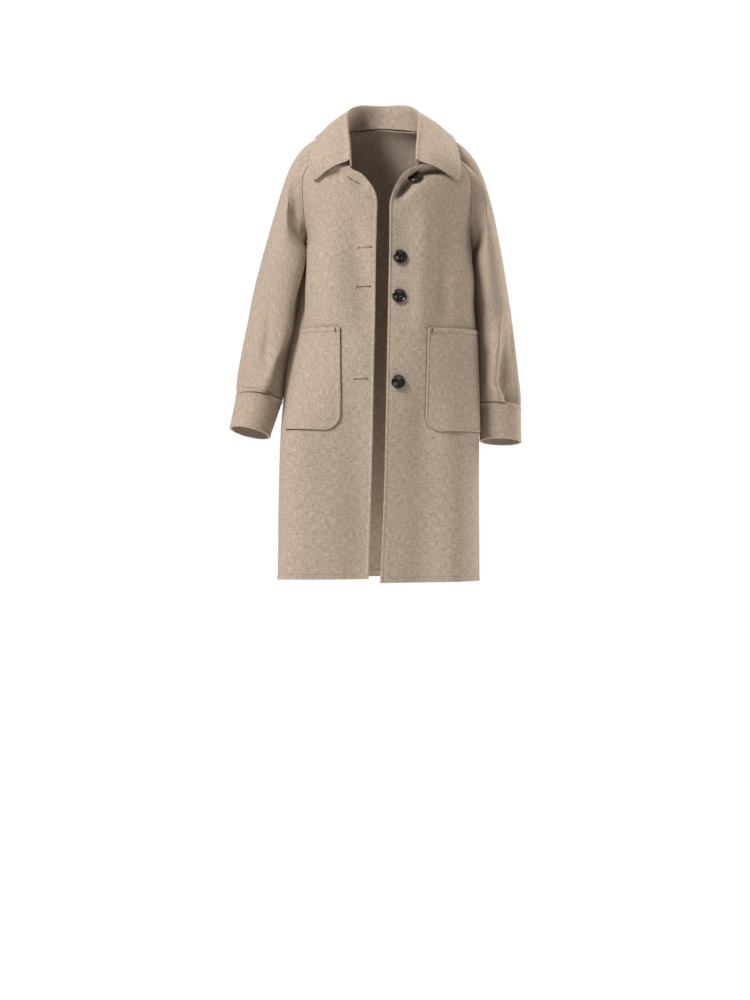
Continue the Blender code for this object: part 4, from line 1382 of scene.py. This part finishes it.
def on_panel(panel, x, z):
    """The point and normal of a panel at a place seen from the front."""
    flat = panel.points.reshape(-1, 3)
    gaps = np.hypot(flat[:, 0] - x, flat[:, 2] - z)
    near = np.argsort(gaps)[:NEAR_POINTS]
    weights = 1 / (gaps[near] + NEAR_SOFT) ** 2
    weights /= weights.sum()
    normal = unit((panel.normals.reshape(-1, 3)[near] * weights[:, None]).sum(axis=0))
    point = (flat[near] * weights[:, None]).sum(axis=0)
    point[0] = x
    point[2] = z
    return point, normal


def buttonhole(number, hole, panel):
    """A worked keyhole buttonhole: close stitches either side of a slit, an eyelet at the front end and a
    bar at the other.
    The shade inside the slit is painted as a row of dark stitches, with gaps where the nap covers it, and a
    dark stitch of painted shade fills the eyelet's middle."""
    slant = math.radians(hole.slant)
    front = np.array((hole.across, hole.height)) * MM
    back = np.array((-math.cos(slant), math.sin(slant))) * BUTTONHOLE_LENGTH
    bm = bmesh.new()
    spots = [on_panel(panel, *(front + back * step / HOLE_STITCHES)) for step in range(HOLE_STITCHES + 1)]
    for index, ((point, normal), (after, _)) in enumerate(zip(spots[2:], spots[3:])):
        along = unit(after - point)
        side = np.cross(normal, along)
        for way in (-1, 1):
            add_stitch(bm, point + side * way * HOLE_HALF, side, normal, HOLE_PURL)
        # The slit's dark dashes are painted shade, standing in for the shade inside the opening
        if index % HOLE_GAP:
            add_stitch(bm, point, along, normal, HOLE_SLIT_SHADE, 1)
    eye, normal = spots[1]
    along = unit(spots[2][0] - spots[0][0])
    side = np.cross(normal, along)
    # A dark stitch of painted shade fills the eyelet's middle
    add_stitch(bm, eye, along, normal, EYE_SHADE, 1)
    for turn in range(EYE_STITCHES):
        angle = 2 * math.pi * turn / EYE_STITCHES
        outward = along * math.cos(angle) + side * math.sin(angle)
        add_stitch(bm, eye + outward * EYE_RADIUS, outward, normal, EYE_PURL)
    point, normal = spots[-1]
    for step in range(HOLE_BAR_STITCHES):
        add_stitch(bm, point + along * (step - 1) * HOLE_BAR_STEP, side, normal, HOLE_BAR)
    return add_piece("buttonhole_%d" % number, bm, [TWIST, BUTTONHOLE_SHADE_AND_TACK])


def button_profile():
    """Points of a button's section from the middle of its shank round its rim to its dished middle."""
    curve = [through(BUTTON_RIM, step / RIM_STEPS) for step in range(RIM_STEPS * (len(BUTTON_RIM) - 1) + 1)]
    shares = [1 - step / DISH_STEPS for step in range(DISH_STEPS + 1)]
    dish = [(DISH_RADIUS * share, DISH_LOW + DISH_RISE * share ** 2) for share in shares]
    return [(radius * MM, height * MM) for radius, height in list(BUTTON_SHANK) + curve + dish]


def sew_button(bm):
    """Sink a button's four holes and lay two loops of thread across each pair of them."""
    holes = [Vector((math.cos(angle), math.sin(angle))) * SEW_HOLE_OUT
             for angle in [math.radians(45 + 90 * turn) for turn in range(4)]]
    for vertex in bm.verts:
        if vertex.co.z > SEW_HOLES_ABOVE:
            for hole in holes:
                inside = 1 - ((vertex.co.xy - hole).length / SEW_HOLE_RADIUS) ** 2
                vertex.co.z -= SEW_HOLE_DEPTH * max(inside, 0.0) ** SEW_HOLE_SHARP
    for first, second in ((0, 1), (3, 2)):
        middle = (holes[first] + holes[second]) / 2
        along = holes[second] - holes[first]
        loop = BUTTON_LOOP._replace(length=along.length * THREAD_REACH / MM)
        for shift in THREAD_SIDES:
            spot = middle + Vector((-along.y, along.x)).normalized() * shift * MM
            spot = (spot.x, spot.y, DISH_LOW * MM)
            add_stitch(bm, spot, (along.x, along.y, 0.0), (0.0, 0.0, 1.0), loop, 1)


def button_piece(number, button):
    """A turned button with a raised rim, a dished middle and four holes, sewn on with thread."""
    place = front_place("left", button.height * MM)
    share = front_share("left", button.across * MM, place)
    normal = front_normal("left", share, place)
    around = np.array(((0, 0), (1, 0), (-1, 0), (0, 1), (0, -1))) * BUTTON_REST
    spots = around + np.array(button) * MM
    rise = fold_height(FRONT_FOLDS["left"], spots[:, 0], spots[:, 1])
    foot = front_point("left", share, place) + normal * (rise[0] * BUTTON_FOLLOW - BUTTON_SINK)
    lean_x = (rise[1] - rise[2]) / (2 * BUTTON_REST)
    lean_z = (rise[3] - rise[4]) / (2 * BUTTON_REST)
    normal = unit(normal - np.array((lean_x, 0.0, lean_z)))
    bm = bmesh.new()
    verts = [bm.verts.new((radius, 0.0, height)) for radius, height in button_profile()]
    edges = [bm.edges.new(pair) for pair in zip(verts, verts[1:])]
    bmesh.ops.spin(bm, geom=verts + edges, cent=(0, 0, 0), axis=(0, 0, 1), angle=2 * math.pi,
                   steps=BUTTON_STEPS, use_merge=True)
    bmesh.ops.remove_doubles(bm, verts=bm.verts, dist=WELD)
    bmesh.ops.recalc_face_normals(bm, faces=bm.faces)
    sew_button(bm)
    side = unit(np.cross((0.0, 0.0, 1.0), normal))
    up = np.cross(normal, side)
    turn = math.radians(BUTTON_TURN * number)
    for vertex in bm.verts:
        x, y, z = vertex.co
        turned_x = x * math.cos(turn) - y * math.sin(turn)
        turned_y = x * math.sin(turn) + y * math.cos(turn)
        vertex.co = foot + side * turned_x + up * turned_y + normal * z
    piece = add_piece("button_%d_resin" % number, bm, [RESIN, BUTTON_THREAD])
    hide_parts("button_%d" % number)
    return piece


panels = {}
trims = {name: [] for name in CUTS}
panels["back"] = back_panel()
panels["collar"] = collar_panel()
for side_name in SIGN:
    panels["front_" + side_name] = front_panel(side_name)
    panels["pocket_" + side_name] = pocket_panel(side_name)
    for half_name in ("front", "back"):
        panels["sleeve_%s_%s" % (side_name, half_name)] = sleeve_panel(side_name, half_name)
for node_name, node_panel in panels.items():
    cloth_piece(node_name + "_cloth", node_panel, node_name)
for side_name in SIGN:
    cuff_piece(side_name)
    trims["pocket_" + side_name].append(pocket_stitches(side_name, panels["pocket_" + side_name]))
for node_name in ("back", "front_right", "front_left"):
    trims[node_name].append(hem_stitches(node_name + "_hem_stitches", panels[node_name]))
for index, button in enumerate(BUTTONS):
    button_piece(index + 1, button)
for index, hole in enumerate(BUTTONHOLES):
    trims["front_right"].append(buttonhole(index + 1, hole, panels["front_right"]))

# The photograph's view: a long lens, level, at the height of the picture's middle
CAMERA_PLACE = (-0.0152, -5.0, -0.7068)
CAMERA_LENS = 94.74
CAMERA_SENSOR = 36.0
FLOOR_HEIGHT = -1.508
FLOOR_RADIUS = 2.6
FLOOR_STEPS = 96

view = bpy.data.cameras.new("photo_view")
view.lens = CAMERA_LENS
view.sensor_width = CAMERA_SENSOR
camera = add_object("photo_view", view)
camera.location = CAMERA_PLACE
camera.rotation_euler = (math.radians(90), 0.0, 0.0)
bpy.context.scene.camera = camera

# Square studio lights in metres and watts, each aimed at a point. The card isn't diffuse: it shows
# only in the gloss of the buttons.
Light = namedtuple("Light", "name place target size power code diffuse")
LIGHTS = (
    Light("key", (-2.6, -2.5, 2.5), (0.0, 0.0, -0.3), 1.4, 235, "FFFAF5", True),
    Light("side", (2.6, 1.1, 0.6), (0.0, 0.0, -0.4), 2.0, 100, "FFF6EC", True),
    Light("card", (2.6, -2.4, 1.0), (0.0, 0.0, -0.3), 1.6, 14, "FFFFFF", False),
    Light("top", (0.0, 0.6, 2.6), (0.0, 0.0, 0.0), 2.0, 32, "FFF9F2", True),
)
for light in LIGHTS:
    lamp = bpy.data.lights.new(light.name, "AREA")
    lamp.size = light.size
    lamp.energy = light.power
    lamp.color = linear(light.code)[:3]
    stand = add_object(light.name, lamp)
    stand.location = light.place
    stand.rotation_euler = (Vector(light.target) - Vector(light.place)).to_track_quat("-Z", "Y").to_euler()
    stand.visible_diffuse = light.diffuse

# The white that is seen behind the coat, and the fainter light that comes from all round
SEEN_STRENGTH = 1.0
AROUND_STRENGTH = 0.14

world = bpy.data.worlds.new("white_studio")
world.use_nodes = True
sky = world.node_tree
sky.nodes.clear()
rays = add_node(sky, "ShaderNodeLightPath")
around = add_node(sky, "ShaderNodeBackground", {"Color": linear("FFF3E4"), "Strength": AROUND_STRENGTH})
seen = add_node(sky, "ShaderNodeBackground", {"Color": linear("FFFFFF"), "Strength": SEEN_STRENGTH})
both = add_node(sky, "ShaderNodeMixShader", {
    0: rays.outputs["Is Camera Ray"], 1: around.outputs[0], 2: seen.outputs[0]})
add_node(sky, "ShaderNodeOutputWorld", {"Surface": both.outputs[0]})
bpy.context.scene.world = world
bpy.context.scene.view_settings.view_transform = "Standard"

floor_shape = bmesh.new()
bmesh.ops.create_circle(floor_shape, cap_ends=True, segments=FLOOR_STEPS, radius=FLOOR_RADIUS,
                        matrix=Matrix.Translation((0.0, 0.0, FLOOR_HEIGHT)))
add_shape("floor", floor_shape, [studio_floor()])
